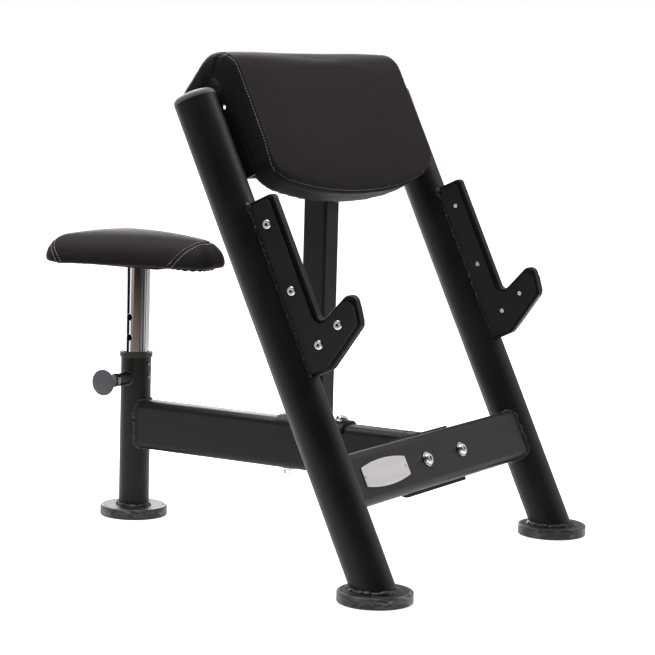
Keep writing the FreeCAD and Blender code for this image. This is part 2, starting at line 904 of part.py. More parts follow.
def fold_point(along, out):
    """Point in the pad's section, measured from the fold down the rear leg's outer face and outward."""
    turn = math.radians(pad_fold_angle)
    rise = pad_fold_top - along * math.cos(turn) + out * math.sin(turn)
    away = pad_face - along * math.sin(turn) - out * math.cos(turn)
    return rise, away


def inner_fold(back):
    """Where a back face and the rear leg's inner face meet, as a rise and a length down the leg."""
    turn = math.radians(pad_fold_angle)
    rise, away = fold_point(0, -pad_rear_thickness)
    along = (away - back) / math.sin(turn)
    return rise - along * math.cos(turn), along


def rear_board_block():
    """Rear board, drawn upright: it lies on the rear leg's inner face."""
    half = pad_half - front_board_margin
    along = inner_fold(carrier_front)[1]
    first = along + rear_board_start
    last = pad_rear_length - rear_board_margin
    inner = -pad_rear_thickness
    outer = inner + rear_board_thickness
    spots = [(first, inner), (last, inner), (last, outer), (first, outer)]
    corners = [fold_point(length, out) for length, out in spots]
    points = [Vector(-half, -away, height) for height, away in corners]
    points.append(points[0])
    return Part.Face(Part.makePolygon(points)).extrude(Vector(2 * half, 0, 0))


def rear_board():
    """Plywood board in the arm pad's rear leg."""
    return leaned(rear_board_block())


def corner_straps():
    """Two bent straps inside the fold that hold the boards together."""
    turn = math.radians(pad_fold_angle)
    rise, along = inner_fold(carrier_front)
    reach = strap_leg + rear_board_start
    thin = strap_thickness
    inset = thin / math.tan(turn / 2)
    inner = -pad_rear_thickness
    front_end = [(rise - reach, carrier_front), (rise - reach, carrier_front - thin)]
    rear_end = [fold_point(along + reach, inner - thin), fold_point(along + reach, inner)]
    bend = fold_point(along + inset, inner - thin)
    outline = [(rise, carrier_front, pad_inner_radius)]
    outline += [(height, away, 0) for height, away in front_end]
    outline += [(bend[0], bend[1], pad_inner_radius - thin)]
    outline += [(height, away, 0) for height, away in rear_end]
    straps = []
    for side in (-1, 1):
        x = side * strap_pitch / 2 - strap_width / 2
        strap = prism(outline, lambda u, v: Vector(x, -v, u), Vector(strap_width, 0, 0))
        straps.append(leaned(strap))
    return Part.makeCompound(straps)


def arc_rise(share):
    """Rise of an arc that starts steeply at 0 and runs out level at 1, for a unit length."""
    into = pad_arc_share * max(1 - share, 0)
    return 1 - math.sqrt(1 - into ** 2)


def pad_station(from_end):
    """Section of the arm pad at a distance from its nearer end, as (rise, away, rounding) corners."""
    turn = math.radians(pad_fold_angle)
    x = pad_half - from_end
    share = (x / pad_half) ** 2
    inset = pad_edge_depth * arc_rise(from_end / pad_edge_length)
    lift = pad_bottom_corner * arc_rise(from_end / pad_bottom_corner)
    low = pad_bottom + pad_bottom_bow * (x / pad_half) ** pad_bottom_power + lift
    face = pad_face + pad_crown * (1 - share) - inset
    back = carrier_front + pad_back_gap + inset * pad_back_draw
    rear = pad_rear_thickness - inset
    out = pad_fold_crown * (1 - share) - inset
    slip = -out * (1 + math.cos(turn)) / math.sin(turn)
    top_rise, top_away = fold_point(slip, out)
    end = pad_rear_length - inset
    outer_rise, outer_away = fold_point(end, out)
    inner_rise, inner_away = fold_point(end, -pad_rear_thickness)
    fold_rise = inner_fold(back)[0]
    end_round = rear * pad_end_share
    return [
        (low + pad_bottom_slope, face, pad_face_roll),
        (low, back, pad_back_roll),
        (fold_rise, back, pad_inner_radius),
        (inner_rise, inner_away, end_round),
        (outer_rise, outer_away, end_round),
        (top_rise, top_away, pad_fold_radius - inset),
    ]


def pad_stations():
    """Distances from the end where the arm pad's section is drawn, closest round its corners."""
    steps = []
    for i in range(pad_corner_steps + 1):
        steps.append(pad_bottom_corner * (i / pad_corner_steps) ** pad_corner_spread)
    for share in pad_middle_stations:
        steps.append(pad_half - pad_half * share)
    return steps


def arm_pad():
    """Cushion folded over the top of the boards, with a bowed lower edge and soft ends."""
    steps = pad_stations()
    places = [(-pad_half + d, d) for d in steps] + [(0, pad_half)]
    places += [(pad_half - d, d) for d in reversed(steps)]
    wires = []
    for x, d in places:
        wires.append(rounded_wire(pad_station(d), lambda u, v: Vector(x, -v, u)))
    pad = Part.makeLoft(wires, True, False)
    pad = pad.cut(front_board_block()).cut(rear_board_block())
    for spot in pad_bolt_spots():
        start = Vector(spot.x, -carrier_front, spot.z)
        pad = pad.cut(rod(tee_nut_radius, front_board_thickness, start, TO_FRONT))
    return leaned(pad)


def pin_level(out):
    """Point on the pull pin's axis, out to the left of the seat post's axis."""
    return Vector(-out, seat_post_line, pin_rise)


def bush_screw_bases():
    """Points on the front of the seat post where the bush's screws go in."""
    return [Vector(0, seat_post_line - seat_post_radius, seat_post_top - drop) for drop in bush_screw_drops]


def seat_post_rod(radius, bottom, top):
    """Solid about the seat post's axis."""
    return rod(radius, top - bottom, Vector(0, seat_post_line, bottom), AXIS_Z)


def bush_screw_depth():
    """How far a bush screw goes in from the post's outer face."""
    return seat_post_wall + bush_screw_bite


def seat_post_tube():
    """Upright tube that carries the seat, drilled for the pull pin and the bush's screws."""
    tube = seat_post_rod(seat_post_radius, foot_height, seat_post_top)
    tube = tube.cut(seat_post_rod(seat_post_bore, foot_height, seat_post_top))
    tube = tube.cut(rod(pin_hole, seat_post_radius, pin_level(0), TO_LEFT))
    for base in bush_screw_bases():
        tube = tube.cut(rod(bush_screw_radius, seat_post_radius, base, TO_BACK))
    return tube


def seat_post_bush():
    """Plastic bush in the top of the seat post that the chrome tube runs in."""
    bottom = seat_post_top - bush_depth
    top = seat_post_top + bush_flange_height
    bush = seat_post_rod(seat_post_bore, bottom, seat_post_top)
    bush = bush.fuse(seat_post_rod(bush_flange_diameter / 2, seat_post_top, top))
    bush = bush.cut(seat_post_rod(seat_tube_radius + bush_clearance, bottom, top))
    bush = bush.cut(rod(pin_hole, seat_post_radius, pin_level(0), TO_LEFT))
    for base in bush_screw_bases():
        bush = bush.cut(rod(bush_screw_radius, bush_screw_depth(), base, TO_BACK))
    return bush


def bush_screws():
    """Small screws that hold the bush in the seat post."""
    screws = []
    for base in bush_screw_bases():
        screw = lathe([
            (0, -bush_screw_depth(), 0),
            (bush_screw_radius, -bush_screw_depth(), 0),
            (bush_screw_radius, 0, 0),
            (bush_screw_head_radius, 0, 0),
            (bush_screw_head_radius, bush_screw_head_height, bush_screw_head_height * head_round_share),
            (0, bush_screw_head_height, 0),
        ])
        crown = seat_post_radius - math.sqrt(seat_post_radius ** 2 - bush_screw_head_radius ** 2)
        seat = seat_post_rod(seat_post_radius, foot_height, seat_post_top)
        head = rod(bush_screw_head_radius, crown, base.add(TO_BACK * crown), TO_FRONT).cut(seat)
        screws.append(placed(screw, base, TO_FRONT).fuse(head))
    return Part.makeCompound(screws)


def pull_pin_housing():
    """Round housing welded to the post, with a guide bore and a spring chamber."""
    body = rod(housing_radius, housing_end, pin_level(0), TO_LEFT)
    body = body.cut(seat_post_rod(seat_post_radius, foot_height, seat_post_top))
    body = body.cut(rod(pin_radius + pin_clearance, housing_end, pin_level(0), TO_LEFT))
    return body.cut(rod(housing_chamber_radius, housing_end, pin_level(chamber_start), TO_LEFT))


def pull_pin_lock_nut():
    """Hexagonal cap nut that closes the spring chamber."""
    nut = hex_nut(lock_nut_width, lock_nut_height, pin_stem_radius + pin_clearance)
    return placed(nut, pin_level(housing_end), TO_LEFT)


def pull_pin():
    """Spring plunger: a nose in the tube's hole, a shoulder and a stem up to the knob."""
    shoulder = chamber_start + pin_seat_gap
    neck = shoulder + pin_shoulder_width
    end = knob_start + knob_socket_depth
    body = lathe([
        (0, pin_end, 0),
        (pin_radius, pin_end, pin_nose_edge),
        (pin_radius, shoulder, 0),
        (pin_shoulder_radius, shoulder, 0),
        (pin_shoulder_radius, neck, 0),
        (pin_stem_radius, neck, 0),
        (pin_stem_radius, end, 0),
        (0, end, 0),
    ])
    return placed(body, pin_level(0), TO_LEFT)


def pull_pin_knob():
    """Mushroom knob with a thin rim, a domed face and a skirt, on the pin's stem."""
    back = knob_skirt_height + knob_flare
    face = back + knob_rim
    body = lathe([
        (0, 0, 0),
        (knob_skirt_radius, 0, knob_skirt_edge),
        (knob_skirt_radius, knob_skirt_height, knob_skirt_root),
        (knob_radius, back, knob_edge),
        (knob_radius, face, knob_edge),
        (knob_dome_radius, face + knob_dome_rise, knob_dome_round),
        (0, face + knob_dome, 0),
    ])
    body = body.cut(rod(pin_stem_radius, knob_socket_depth, Vector(), AXIS_Z))
    return placed(body, pin_level(knob_start), TO_LEFT)


def pull_pin_spring():
    """Coil spring between the pin's shoulder and the lock nut."""
    start = chamber_start + pin_seat_gap + pin_shoulder_width + spring_end_gap + spring_wire_radius
    end = housing_end - spring_end_gap - spring_wire_radius
    pitch = (end - start) / spring_turns
    path = Part.Wire(Part.makeHelix(pitch, end - start, spring_radius).Edges)
    section = Part.Wire(Part.makeCircle(spring_wire_radius, Vector(spring_radius, 0, 0), Vector(0, 1, 0)))
    coil = path.makePipeShell([section], True, True)
    return placed(coil, pin_level(start), TO_LEFT)


def seat_outline(inset, shrink):
    """Corners of the seat, wide behind and narrow in front, drawn in and then shrunk."""
    rear = seat_rear_width / 2
    nose = seat_nose_width / 2
    slope = (rear - nose) / (seat_rear + seat_nose)
    draw = inset * math.sqrt(1 + slope ** 2)
    back = seat_rear - inset
    front = -seat_nose + inset
    back_half = nose + (back + seat_nose) * slope - draw
    front_half = nose + (front + seat_nose) * slope - draw
    middle = (back + front) / 2
    rear_round = max(seat_rear_corner - inset, seat_least_corner) * shrink
    nose_round = max(seat_nose_corner - inset, seat_least_corner) * shrink
    corners = []
    for x, y, radius in [
        (-front_half, front, nose_round),
        (front_half, front, nose_round),
        (back_half, back, rear_round),
        (-back_half, back, rear_round),
    ]:
        corners.append((x * shrink, middle + (y - middle) * shrink, radius))
    return corners


def seat_point(height):
    """Map seat outline corners to one height above the seat's underside."""
    return lambda u, v: Vector(u, seat_post_line + v, seat_rise + height)


def seat_board():
    """Plywood board in the seat cushion's underside."""
    board = prism(seat_outline(seat_board_margin, 1), seat_point(0), AXIS_Z * seat_board_thickness)
    for base in seat_screw_bases():
        board = board.cut(rod(seat_screw_radius, seat_screw_bite, Vector(base.x, base.y, seat_rise), AXIS_Z))
    return board


def seat_levels():
    """Heights above the seat's underside and how far the outline is drawn in at each."""
    levels = list(seat_underside)
    for step in seat_roll_steps:
        inset = seat_roll_width * (1 - math.sqrt(1 - step ** 2))
        levels.append((seat_side_height + seat_roll_height * step, inset))
    return levels


def seat_pad():
    """Seat cushion: drawn in at the bottom, soft at the top edge and crowned."""
    levels = seat_levels()
    sides = [rounded_wire(seat_outline(inset, 1), seat_point(height)) for height, inset in levels]
    shoulder, last = levels[-1]
    top = [sides[-1]]
    for height, shrink in seat_crown:
        top.append(rounded_wire(seat_outline(last, shrink), seat_point(shoulder + height)))
    cushion = Part.makeLoft(sides, True, False).fuse(Part.makeLoft(top, True, False))
    pocket = prism(seat_outline(seat_board_margin, 1), seat_point(0), AXIS_Z * seat_board_thickness)
    return cushion.cut(pocket)


def seat_screw_bases():
    """Centres of the seat screws on the plate's underside."""
    along = seat_plate_length / 2 - seat_screw_inset
    across = seat_plate_width / 2 - seat_screw_inset
    low = seat_rise - seat_plate_thickness
    return [Vector(a * across, seat_post_line + b * along, low) for a in (-1, 1) for b in (-1, 1)]


def seat_plate():
    """Steel plate on top of the chrome tube, screwed to the seat board."""
    across = seat_plate_width / 2
    along = seat_plate_length / 2
    corners = [
        (-across, -along, seat_plate_corner),
        (across, -along, seat_plate_corner),
        (across, along, seat_plate_corner),
        (-across, along, seat_plate_corner),
    ]
    plate = prism(corners, seat_point(-seat_plate_thickness), AXIS_Z * seat_plate_thickness)
    for base in seat_screw_bases():
        plate = plate.cut(rod(seat_screw_radius, seat_plate_thickness, base, AXIS_Z))
    return plate


def seat_screws():
    """Screws up through the seat plate into the board."""
    length = seat_plate_thickness + seat_screw_bite
    screw = lathe([
        (0, -length, 0),
        (seat_screw_radius, -length, 0),
        (seat_screw_radius, 0, 0),
        (seat_screw_head_radius, 0, 0),
        (seat_screw_head_radius, seat_screw_head_height, seat_screw_head_height * head_round_share),
        (0, seat_screw_head_height, 0),
    ])
    return Part.makeCompound([placed(screw, base, Vector(0, 0, -1)) for base in seat_screw_bases()])


def seat_tube_bottom():
    """Height of the chrome tube's lower end: below its lowest hole."""
    return pin_rise - seat_holes_each_way * seat_hole_pitch - pin_hole - seat_tube_tail


def seat_tube():
    """Chrome tube under the seat, with a row of holes for the pull pin."""
    top = seat_rise - seat_plate_thickness
    tube = seat_post_rod(seat_tube_radius, seat_tube_bottom(), top)
    tube = tube.cut(seat_post_rod(seat_tube_radius - seat_tube_wall, seat_tube_bottom(), top))
    for step in range(-seat_holes_each_way, seat_holes_each_way + 1):
        start = pin_level(0).add(AXIS_Z * (step * seat_hole_pitch))
        tube = tube.cut(rod(pin_hole, seat_tube_radius, start, TO_LEFT))
    return tube


def seat_tube_cap():
    """Plastic plug in the chrome tube's lower end, short of its lowest hole."""
    plug = seat_tube_radius - seat_tube_wall - seat_cap_clearance
    depth = seat_tube_tail - seat_cap_pin_gap
    cap = lathe([
        (0, -seat_cap_flange, 0),
        (seat_tube_radius, -seat_cap_flange, seat_cap_flange / 2),
        (seat_tube_radius, 0, 0),
        (plug, 0, 0),
        (plug, depth, 0),
        (0, depth, 0),
    ])
    cap.translate(Vector(0, seat_post_line, seat_tube_bottom()))
    return cap


def bench():
    """All pieces of the bench by name."""
    pieces = {
        "cross_beam": cross_beam(),
        "name_plate": name_plate(),
        "name_plate_rivets": name_plate_rivets(),
        "beam_clamp": beam_clamp(),
        "cross_beam_bolts": cross_beam_bolts(),
        "cross_beam_washers": cross_beam_washers(),
        "cross_beam_nuts": cross_beam_nuts(),
        "main_beam": main_beam(),
        "post_saddle": post_saddle(),
        "saddle_bolts": saddle_bolts(),
        "saddle_washers": saddle_washers(),
        "saddle_nuts": saddle_nuts(),
        "center_post": center_post(),
        "pad_carrier": pad_carrier(),
        "pad_bolts": pad_bolts(),
        "pad_washers": pad_washers(),
        "pad_tee_nuts": pad_tee_nuts(),
        "front_board": front_board(),
        "rear_board": rear_board(),
        "corner_straps": corner_straps(),
        "arm_pad": arm_pad(),
        "seat_post_tube": seat_post_tube(),
        "seat_post_bush": seat_post_bush(),
        "bush_screws": bush_screws(),
        "pull_pin_housing": pull_pin_housing(),
        "pull_pin_lock_nut": pull_pin_lock_nut(),
        "pull_pin_spring": pull_pin_spring(),
        "pull_pin": pull_pin(),
        "pull_pin_knob": pull_pin_knob(),
        "seat_pad": seat_pad(),
        "seat_board": seat_board(),
        "seat_plate": seat_plate(),
        "seat_screws": seat_screws(),
        "seat_tube": seat_tube(),
        "seat_tube_cap": seat_tube_cap(),
        "seat_foot_disc": foot_disc(0, seat_post_line),
        "seat_rubber_foot": rubber_foot(0, seat_post_line),
    }
    for name, side in (("left", -1), ("right", 1)):
        x = side * upright_x
        pieces[name + "_upright_tube"] = upright_tube(side)
        pieces[name + "_upright_cap"] = upright_cap(side)
        pieces[name + "_foot_disc"] = foot_disc(x, foot_line)
        pieces[name + "_rubber_foot"] = rubber_foot(x, foot_line)
        pieces[name + "_hook_plate"] = hook_plate(side)
        pieces[name + "_hook_liner"] = hook_liner(side)
        pieces[name + "_hook_inner_plate"] = hook_inner_plate(side)
        pieces[name + "_hook_screws"] = hook_screws(side)
        pieces[name + "_pad_bracket"] = pad_bracket(side)
    return pieces


os.makedirs("parts", exist_ok=True)
for node, solid in bench().items():
    solid.exportStep("parts/" + node + ".step")
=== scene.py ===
"""Looks of a preacher curl bench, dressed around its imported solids.

Metres, in the frame of the solids: +Z up, the bar rests at -Y, the seat at +Y, the floor at Z = 0.
Most of the frame lies in a plane that leans back; LeanFrame turns its sizes into points.
"""
import json
import logging
import math
import random
from dataclasses import dataclass, field
from enum import Enum
from typing import Callable, Sequence

import bpy
import numpy as np
from mathutils import Matrix, Vector
from mathutils.bvhtree import BVHTree
from mathutils.kdtree import KDTree


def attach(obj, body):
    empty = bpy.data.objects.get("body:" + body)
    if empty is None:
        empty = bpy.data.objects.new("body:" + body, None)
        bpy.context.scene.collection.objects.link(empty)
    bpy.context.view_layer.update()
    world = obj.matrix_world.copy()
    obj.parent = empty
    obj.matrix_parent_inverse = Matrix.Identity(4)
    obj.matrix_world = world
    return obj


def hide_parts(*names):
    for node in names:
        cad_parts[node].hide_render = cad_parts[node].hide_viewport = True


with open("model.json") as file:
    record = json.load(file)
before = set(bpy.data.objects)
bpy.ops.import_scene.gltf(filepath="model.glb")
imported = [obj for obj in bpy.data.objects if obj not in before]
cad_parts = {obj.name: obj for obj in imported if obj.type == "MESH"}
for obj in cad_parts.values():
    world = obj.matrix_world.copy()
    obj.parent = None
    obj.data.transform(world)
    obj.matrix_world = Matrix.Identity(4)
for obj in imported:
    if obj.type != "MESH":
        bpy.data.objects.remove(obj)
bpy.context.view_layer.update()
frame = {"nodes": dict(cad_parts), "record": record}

MM = 0.001
WHITE = (1.0, 1.0, 1.0, 1.0)
log = logging.getLogger("bench")

Colour = tuple[float, float, float]
Corner = tuple[float, float, float]
Ring = list[tuple[float, float, float, float]]
Value = float | Sequence[float] | bpy.types.NodeSocket


# ------------------------------------------------------------------ places and mesh tools


@dataclass(frozen=True)
class LeanFrame:
    """Plane of the leaning posts: s runs up along them, m stands out to the front of their axes."""

    lean: float = math.radians(25.3)
    foot: float = -425.118 * MM

    def point(self, x: float, s: float, m: float) -> Vector:
        """Place of a point in the bench's frame.

        Args:
            x: distance across the bench.
            s: distance up along the posts.
            m: distance out from the plane of the posts' axes.
        Returns:
            The point in metres.
        """
        y = self.foot + s * math.sin(self.lean) - m * math.cos(self.lean)
        return Vector((x, y, s * math.cos(self.lean) + m * math.sin(self.lean)))

    def direction(self, x: float, s: float, m: float) -> Vector:
        """Direction in the bench's frame of a step across, up and out."""
        return self.point(x, s, m) - self.point(0, 0, 0)

    def height_on(self, y: float, m: float) -> float:
        """Z of the point of the sheet at distance m from the plane that lies at one y."""
        s = (y - self.foot + m * math.cos(self.lean)) / math.sin(self.lean)
        return s * math.cos(self.lean) + m * math.sin(self.lean)

    def depth_on(self, z: float, m: float) -> float:
        """Y of the point of the sheet at distance m from the plane that lies at one z."""
        s = (z - m * math.sin(self.lean)) / math.cos(self.lean)
        return self.foot + s * math.sin(self.lean) - m * math.cos(self.lean)


class Bench:
    """Mesh work on one piece at a time, with nothing else selected."""

    @staticmethod
    def only(piece: bpy.types.Object) -> None:
        """Select one piece alone and make it active.

        Args:
            piece: the piece.
        """
        if bpy.context.object and bpy.context.object.mode != "OBJECT":
            bpy.ops.object.mode_set(mode="OBJECT")
        bpy.ops.object.select_all(action="DESELECT")
        piece.select_set(True)
        bpy.context.view_layer.objects.active = piece

    @staticmethod
    def clear() -> None:
        """Leave nothing selected, so that an operator acts on the next primitive alone."""
        bpy.ops.object.select_all(action="DESELECT")

    @staticmethod
    def from_faces(name: str, points: Sequence, faces: Sequence) -> bpy.types.Object:
        """New mesh piece at the origin.

        Args:
            name: the piece's name.
            points: its vertices.
            faces: its faces, as vertex numbers.
        Returns:
            The piece, linked to the scene.
        """
        mesh = bpy.data.meshes.new(name)
        mesh.from_pydata([tuple(p) for p in points], [], [tuple(f) for f in faces])
        mesh.update()
        piece = bpy.data.objects.new(name, mesh)
        bpy.context.scene.collection.objects.link(piece)
        return piece

    @staticmethod
    def settle(piece: bpy.types.Object) -> None:
        """Put a piece's place, turn and size into its mesh."""
        Bench.only(piece)
        bpy.ops.object.transform_apply(location=True, rotation=True, scale=True)

    @staticmethod
    def modify(piece: bpy.types.Object, kind: str, **settings: object) -> None:
        """Add one modifier and apply it.

        Args:
            piece: the piece that takes it.
            kind: the modifier's type.
            settings: its settings by name.
        """
        Bench.only(piece)
        modifier = piece.modifiers.new(kind.lower(), kind)
        for key, value in settings.items():
            setattr(modifier, key, value)
        bpy.ops.object.modifier_apply(modifier=modifier.name)

    @staticmethod
    def clean(piece: bpy.types.Object, gap: float = 1e-5) -> None:
        """Merge a mesh's doubles and turn its faces outwards.

        Args:
            piece: the piece.
            gap: the largest gap that is merged.
        """
        Bench.only(piece)
        bpy.ops.object.mode_set(mode="EDIT")
        bpy.ops.mesh.select_all(action="SELECT")
        bpy.ops.mesh.remove_doubles(threshold=gap)
        bpy.ops.mesh.normals_make_consistent(inside=False)
        bpy.ops.object.mode_set(mode="OBJECT")

    @staticmethod
    def smooth(piece: bpy.types.Object) -> None:
        """Shade a piece smooth."""
        Bench.only(piece)
        bpy.ops.object.shade_smooth()

    @staticmethod
    def points(piece: bpy.types.Object, key: str = "co") -> np.ndarray:
        """Vertices of a piece as rows of an array.

        Args:
            piece: the piece.
            key: what is asked of each vertex, its place or its normal.
        Returns:
            One row for each vertex.
        """
        flat = np.zeros(len(piece.data.vertices) * 3)
        piece.data.vertices.foreach_get(key, flat)
        return flat.reshape(-1, 3)

    @staticmethod
    def normals(piece: bpy.types.Object) -> np.ndarray:
        """Vertex normals of a piece as rows of an array."""
        return Bench.points(piece, "normal")

    @staticmethod
    def set_points(piece: bpy.types.Object, points: np.ndarray) -> None:
        """Write a piece's vertices back."""
        piece.data.vertices.foreach_set("co", points.astype(np.float32).ravel())
        piece.data.update()

    @staticmethod
    def surface(piece: bpy.types.Object) -> BVHTree:
        """Tree that finds the nearest place on a piece."""
        points = [v.co.copy() for v in piece.data.vertices]
        return BVHTree.FromPolygons(points, [tuple(f.vertices) for f in piece.data.polygons])

    @staticmethod
    def tube_faces(rows: int, around: int, closed: bool = False) -> list[tuple[int, ...]]:
        """Faces of a skin over rows of points that each run round in a ring.

        Args:
            rows: how many rings there are.
            around: points on each ring.
            closed: whether the last ring joins the first.
        Returns:
            The faces, as vertex numbers.
        """
        faces = []
        for r in range(rows if closed else rows - 1):
            here, after = r * around, (r + 1) % rows * around
            for k in range(around):
                n = (k + 1) % around
                faces.append((here + k, here + n, after + n, after + k))
        return faces

    @staticmethod
    def copies(
        name: str, model: bpy.types.Object, places: Sequence[Matrix]
    ) -> bpy.types.Object:
        """One piece made of many copies of a small modelled shape.

        Args:
            name: the new piece's name.
            model: the shape that repeats, which is removed.
            places: where each copy goes.
        Returns:
            The new piece.
        """
        shape = np.c_[Bench.points(model), np.ones(len(model.data.vertices))]
        faces = [tuple(f.vertices) for f in model.data.polygons]
        rows = [shape @ np.array(place).T[:, :3] for place in places]
        many = []
        for number in range(len(places)):
            first = number * len(shape)
            many.extend(tuple(first + v for v in face) for face in faces)
        piece = Bench.from_faces(name, np.vstack(rows), many)
        bpy.data.objects.remove(model)
        Bench.smooth(piece)
        return piece


class Path:
    """Line through points, walked at an even pace."""

    def __init__(self, points: Sequence[Vector], closed: bool = False) -> None:
        """Keep the points and measure the line.

        Args:
            points: corners of the line.
            closed: whether it runs back to its start.
        """
        spots = [Vector(p) for p in points]
        if closed:
            spots.append(spots[0].copy())
        self.spots = np.array([tuple(p) for p in spots])
        steps = np.linalg.norm(np.diff(self.spots, axis=0), axis=1)
        self.marks = np.r_[0.0, np.cumsum(steps)]
        self.length = float(self.marks[-1])

    def at(self, distance: float) -> Vector:
        """Point at a distance along the line."""
        return Vector([np.interp(distance, self.marks, self.spots[:, i]) for i in range(3)])

    def heading(self, distance: float, reach: float) -> Vector:
        """Direction of the line at a distance along it, taken over a reach to each side."""
        ahead = self.at(min(distance + reach, self.length))
        return (ahead - self.at(max(distance - reach, 0.0))).normalized()

    def walk(self, pitch: float) -> list[Vector]:
        """Points along the line.

        Args:
            pitch: the gap to aim for.
        Returns:
            Points an even gap apart, the first and last at the line's ends.
        """
        count = max(2, round(self.length / pitch) + 1)
        return [self.at(d) for d in np.linspace(0.0, self.length, count)]


def laid(along: Vector, up: Vector) -> Matrix:
    """Turn that lays X along one direction and Z along another, square to it."""
    return Matrix((along, up.cross(along), up)).transposed().to_4x4()


def rounded(corners: Sequence[Corner], steps: int) -> list[tuple[float, float]]:
    """Closed outline through corners that are each rounded by an arc.

    Args:
        corners: (u, v, radius) of each corner.
        steps: points on each arc.
    Returns:
        The outline's (u, v) points.
    """
    outline = []
    count = len(corners)
    for i, (u, v, radius) in enumerate(corners):
        here = Vector((u, v))
        before = (Vector(corners[i - 1][:2]) - here).normalized()
        after = (Vector(corners[(i + 1) % count][:2]) - here).normalized()
        half = before.angle(after) / 2
        reach = radius / math.tan(half)
        centre = here + (before + after).normalized() * (radius / math.sin(half))
        start = here + before * reach - centre
        end = here + after * reach - centre
        sweep = start.angle_signed(end) if radius > 0 else 0.0
        for k in range(steps):
            turn = -sweep * k / (steps - 1)
            ray = Vector((
                start.x * math.cos(turn) - start.y * math.sin(turn),
                start.x * math.sin(turn) + start.y * math.cos(turn),
            ))
            outline.append(tuple(centre + ray))
    return outline


# ------------------------------------------------------------------ finishes


class Canvas:
    """Node tree that nodes are added to, each socket set or linked as it is named."""

    def __init__(self, tree: bpy.types.NodeTree) -> None:
        """Keep the tree."""
        self.tree = tree

    @classmethod
    def blank(cls, owner: bpy.types.Material | bpy.types.World) -> "Canvas":
        """Canvas of a material's or a world's own tree, emptied of its nodes.

        Args:
            owner: the material or world.
        Returns:
            The canvas.
        """
        owner.use_nodes = True
        owner.node_tree.nodes.clear()
        return cls(owner.node_tree)

    def feed(self, socket: bpy.types.NodeSocket, value: Value) -> None:
        """Link a socket, or set it where the value is plain.

        Args:
            socket: the socket that is fed.
            value: another socket, or a plain value.
        """
        if isinstance(value, bpy.types.NodeSocket):
            self.tree.links.new(value, socket)
        else:
            socket.default_value = value

    def add(
        self, kind: str, inputs: dict[str | int, Value] | None = None, **settings: object
    ) -> bpy.types.Node:
        """Add a node.

        Args:
            kind: the node's type.
            inputs: values or sockets for its inputs, by name or number.
            settings: its own settings.
        Returns:
            The node.
        """
        node = self.tree.nodes.new(kind)
        for key, value in settings.items():
            setattr(node, key, value)
        for key, value in (inputs or {}).items():
            self.feed(node.inputs[key], value)
        return node

    def sum(self, operation: str, *values: Value) -> bpy.types.NodeSocket:
        """Result of a Math node."""
        node = self.add("ShaderNodeMath", dict(enumerate(values)), operation=operation)
        return node.outputs[0]

    def scaled(self, value: Value, by: float) -> bpy.types.NodeSocket:
        """Value times a number."""
        return self.sum("MULTIPLY", value, by)

    def shown(self) -> bpy.types.NodeSocket:
        """Mask of the rays that see the white room: the camera's own, a mirror's and a glass's.

        Returns:
            1 for these rays and 0 for the rest.
        """
        path = self.add("ShaderNodeLightPath").outputs
        seen = self.sum("MAXIMUM", path["Is Camera Ray"], path["Is Glossy Ray"])
        return self.sum("MAXIMUM", seen, path["Is Transmission Ray"])

    def spread(
        self, value: Value, low: float, high: float, to_low: float = 0.0, to_high: float = 1.0
    ) -> bpy.types.NodeSocket:
        """Value stretched from one range to another and held in it.

        Args:
            value: the value.
            low: where its range starts.
            high: where its range ends.
            to_low: where the new range starts.
            to_high: where the new range ends.
        Returns:
            The stretched value.
        """
        ends = {"From Min": low, "From Max": high, "To Min": to_low, "To Max": to_high}
        return self.add("ShaderNodeMapRange", {"Value": value, **ends}).outputs[0]

    def tint(self, factor: Value, low: Value, high: Value) -> bpy.types.NodeSocket:
        """Colour between two others.

        Args:
            factor: 0 for the first colour, 1 for the second.
            low: the first colour.
            high: the second colour.
        Returns:
            The mixed colour.
        """
        ends = [c if isinstance(c, bpy.types.NodeSocket) else (*c, 1.0) for c in (low, high)]
        node = self.add("ShaderNodeMix", {0: factor, 6: ends[0], 7: ends[1]}, data_type="RGBA")
        return node.outputs[2]

    def noise(
        self, vector: Value, scale: Value, detail: float = 3.0, distortion: float = 0.0
    ) -> bpy.types.NodeSocket:
        """Noise value on a set of coordinates.

        Args:
            vector: the coordinates.
            scale: how fine the noise is.
            detail: how many finer layers it has.
            distortion: how much it is warped.
        Returns:
            The noise, from 0 to 1.
        """
        node = self.add(
            "ShaderNodeTexNoise",
            {"Vector": vector, "Scale": scale, "Detail": detail, "Distortion": distortion},
        )
        return node.outputs["Fac"]

    def stretch(
        self, vector: Value, scale: Sequence[float], turn: Sequence[float] = (0, 0, 0)
    ) -> bpy.types.NodeSocket:
        """Coordinates turned and then stretched along their axes."""
        node = self.add("ShaderNodeMapping", {"Vector": vector, "Rotation": turn, "Scale": scale})
        return node.outputs[0]


class Effect(Enum):
    """Surface effects that several finishes share, each one a node group."""

    GRAIN = "fine grain"
    SOFT_EDGE = "soft edge"
    PEBBLE = "vinyl pebble"
    SMEAR = "marbled smear"
    BRUSH = "brush lines"
    # occlusion mask that paints shade into crevices
    CREVICE = "crevice"


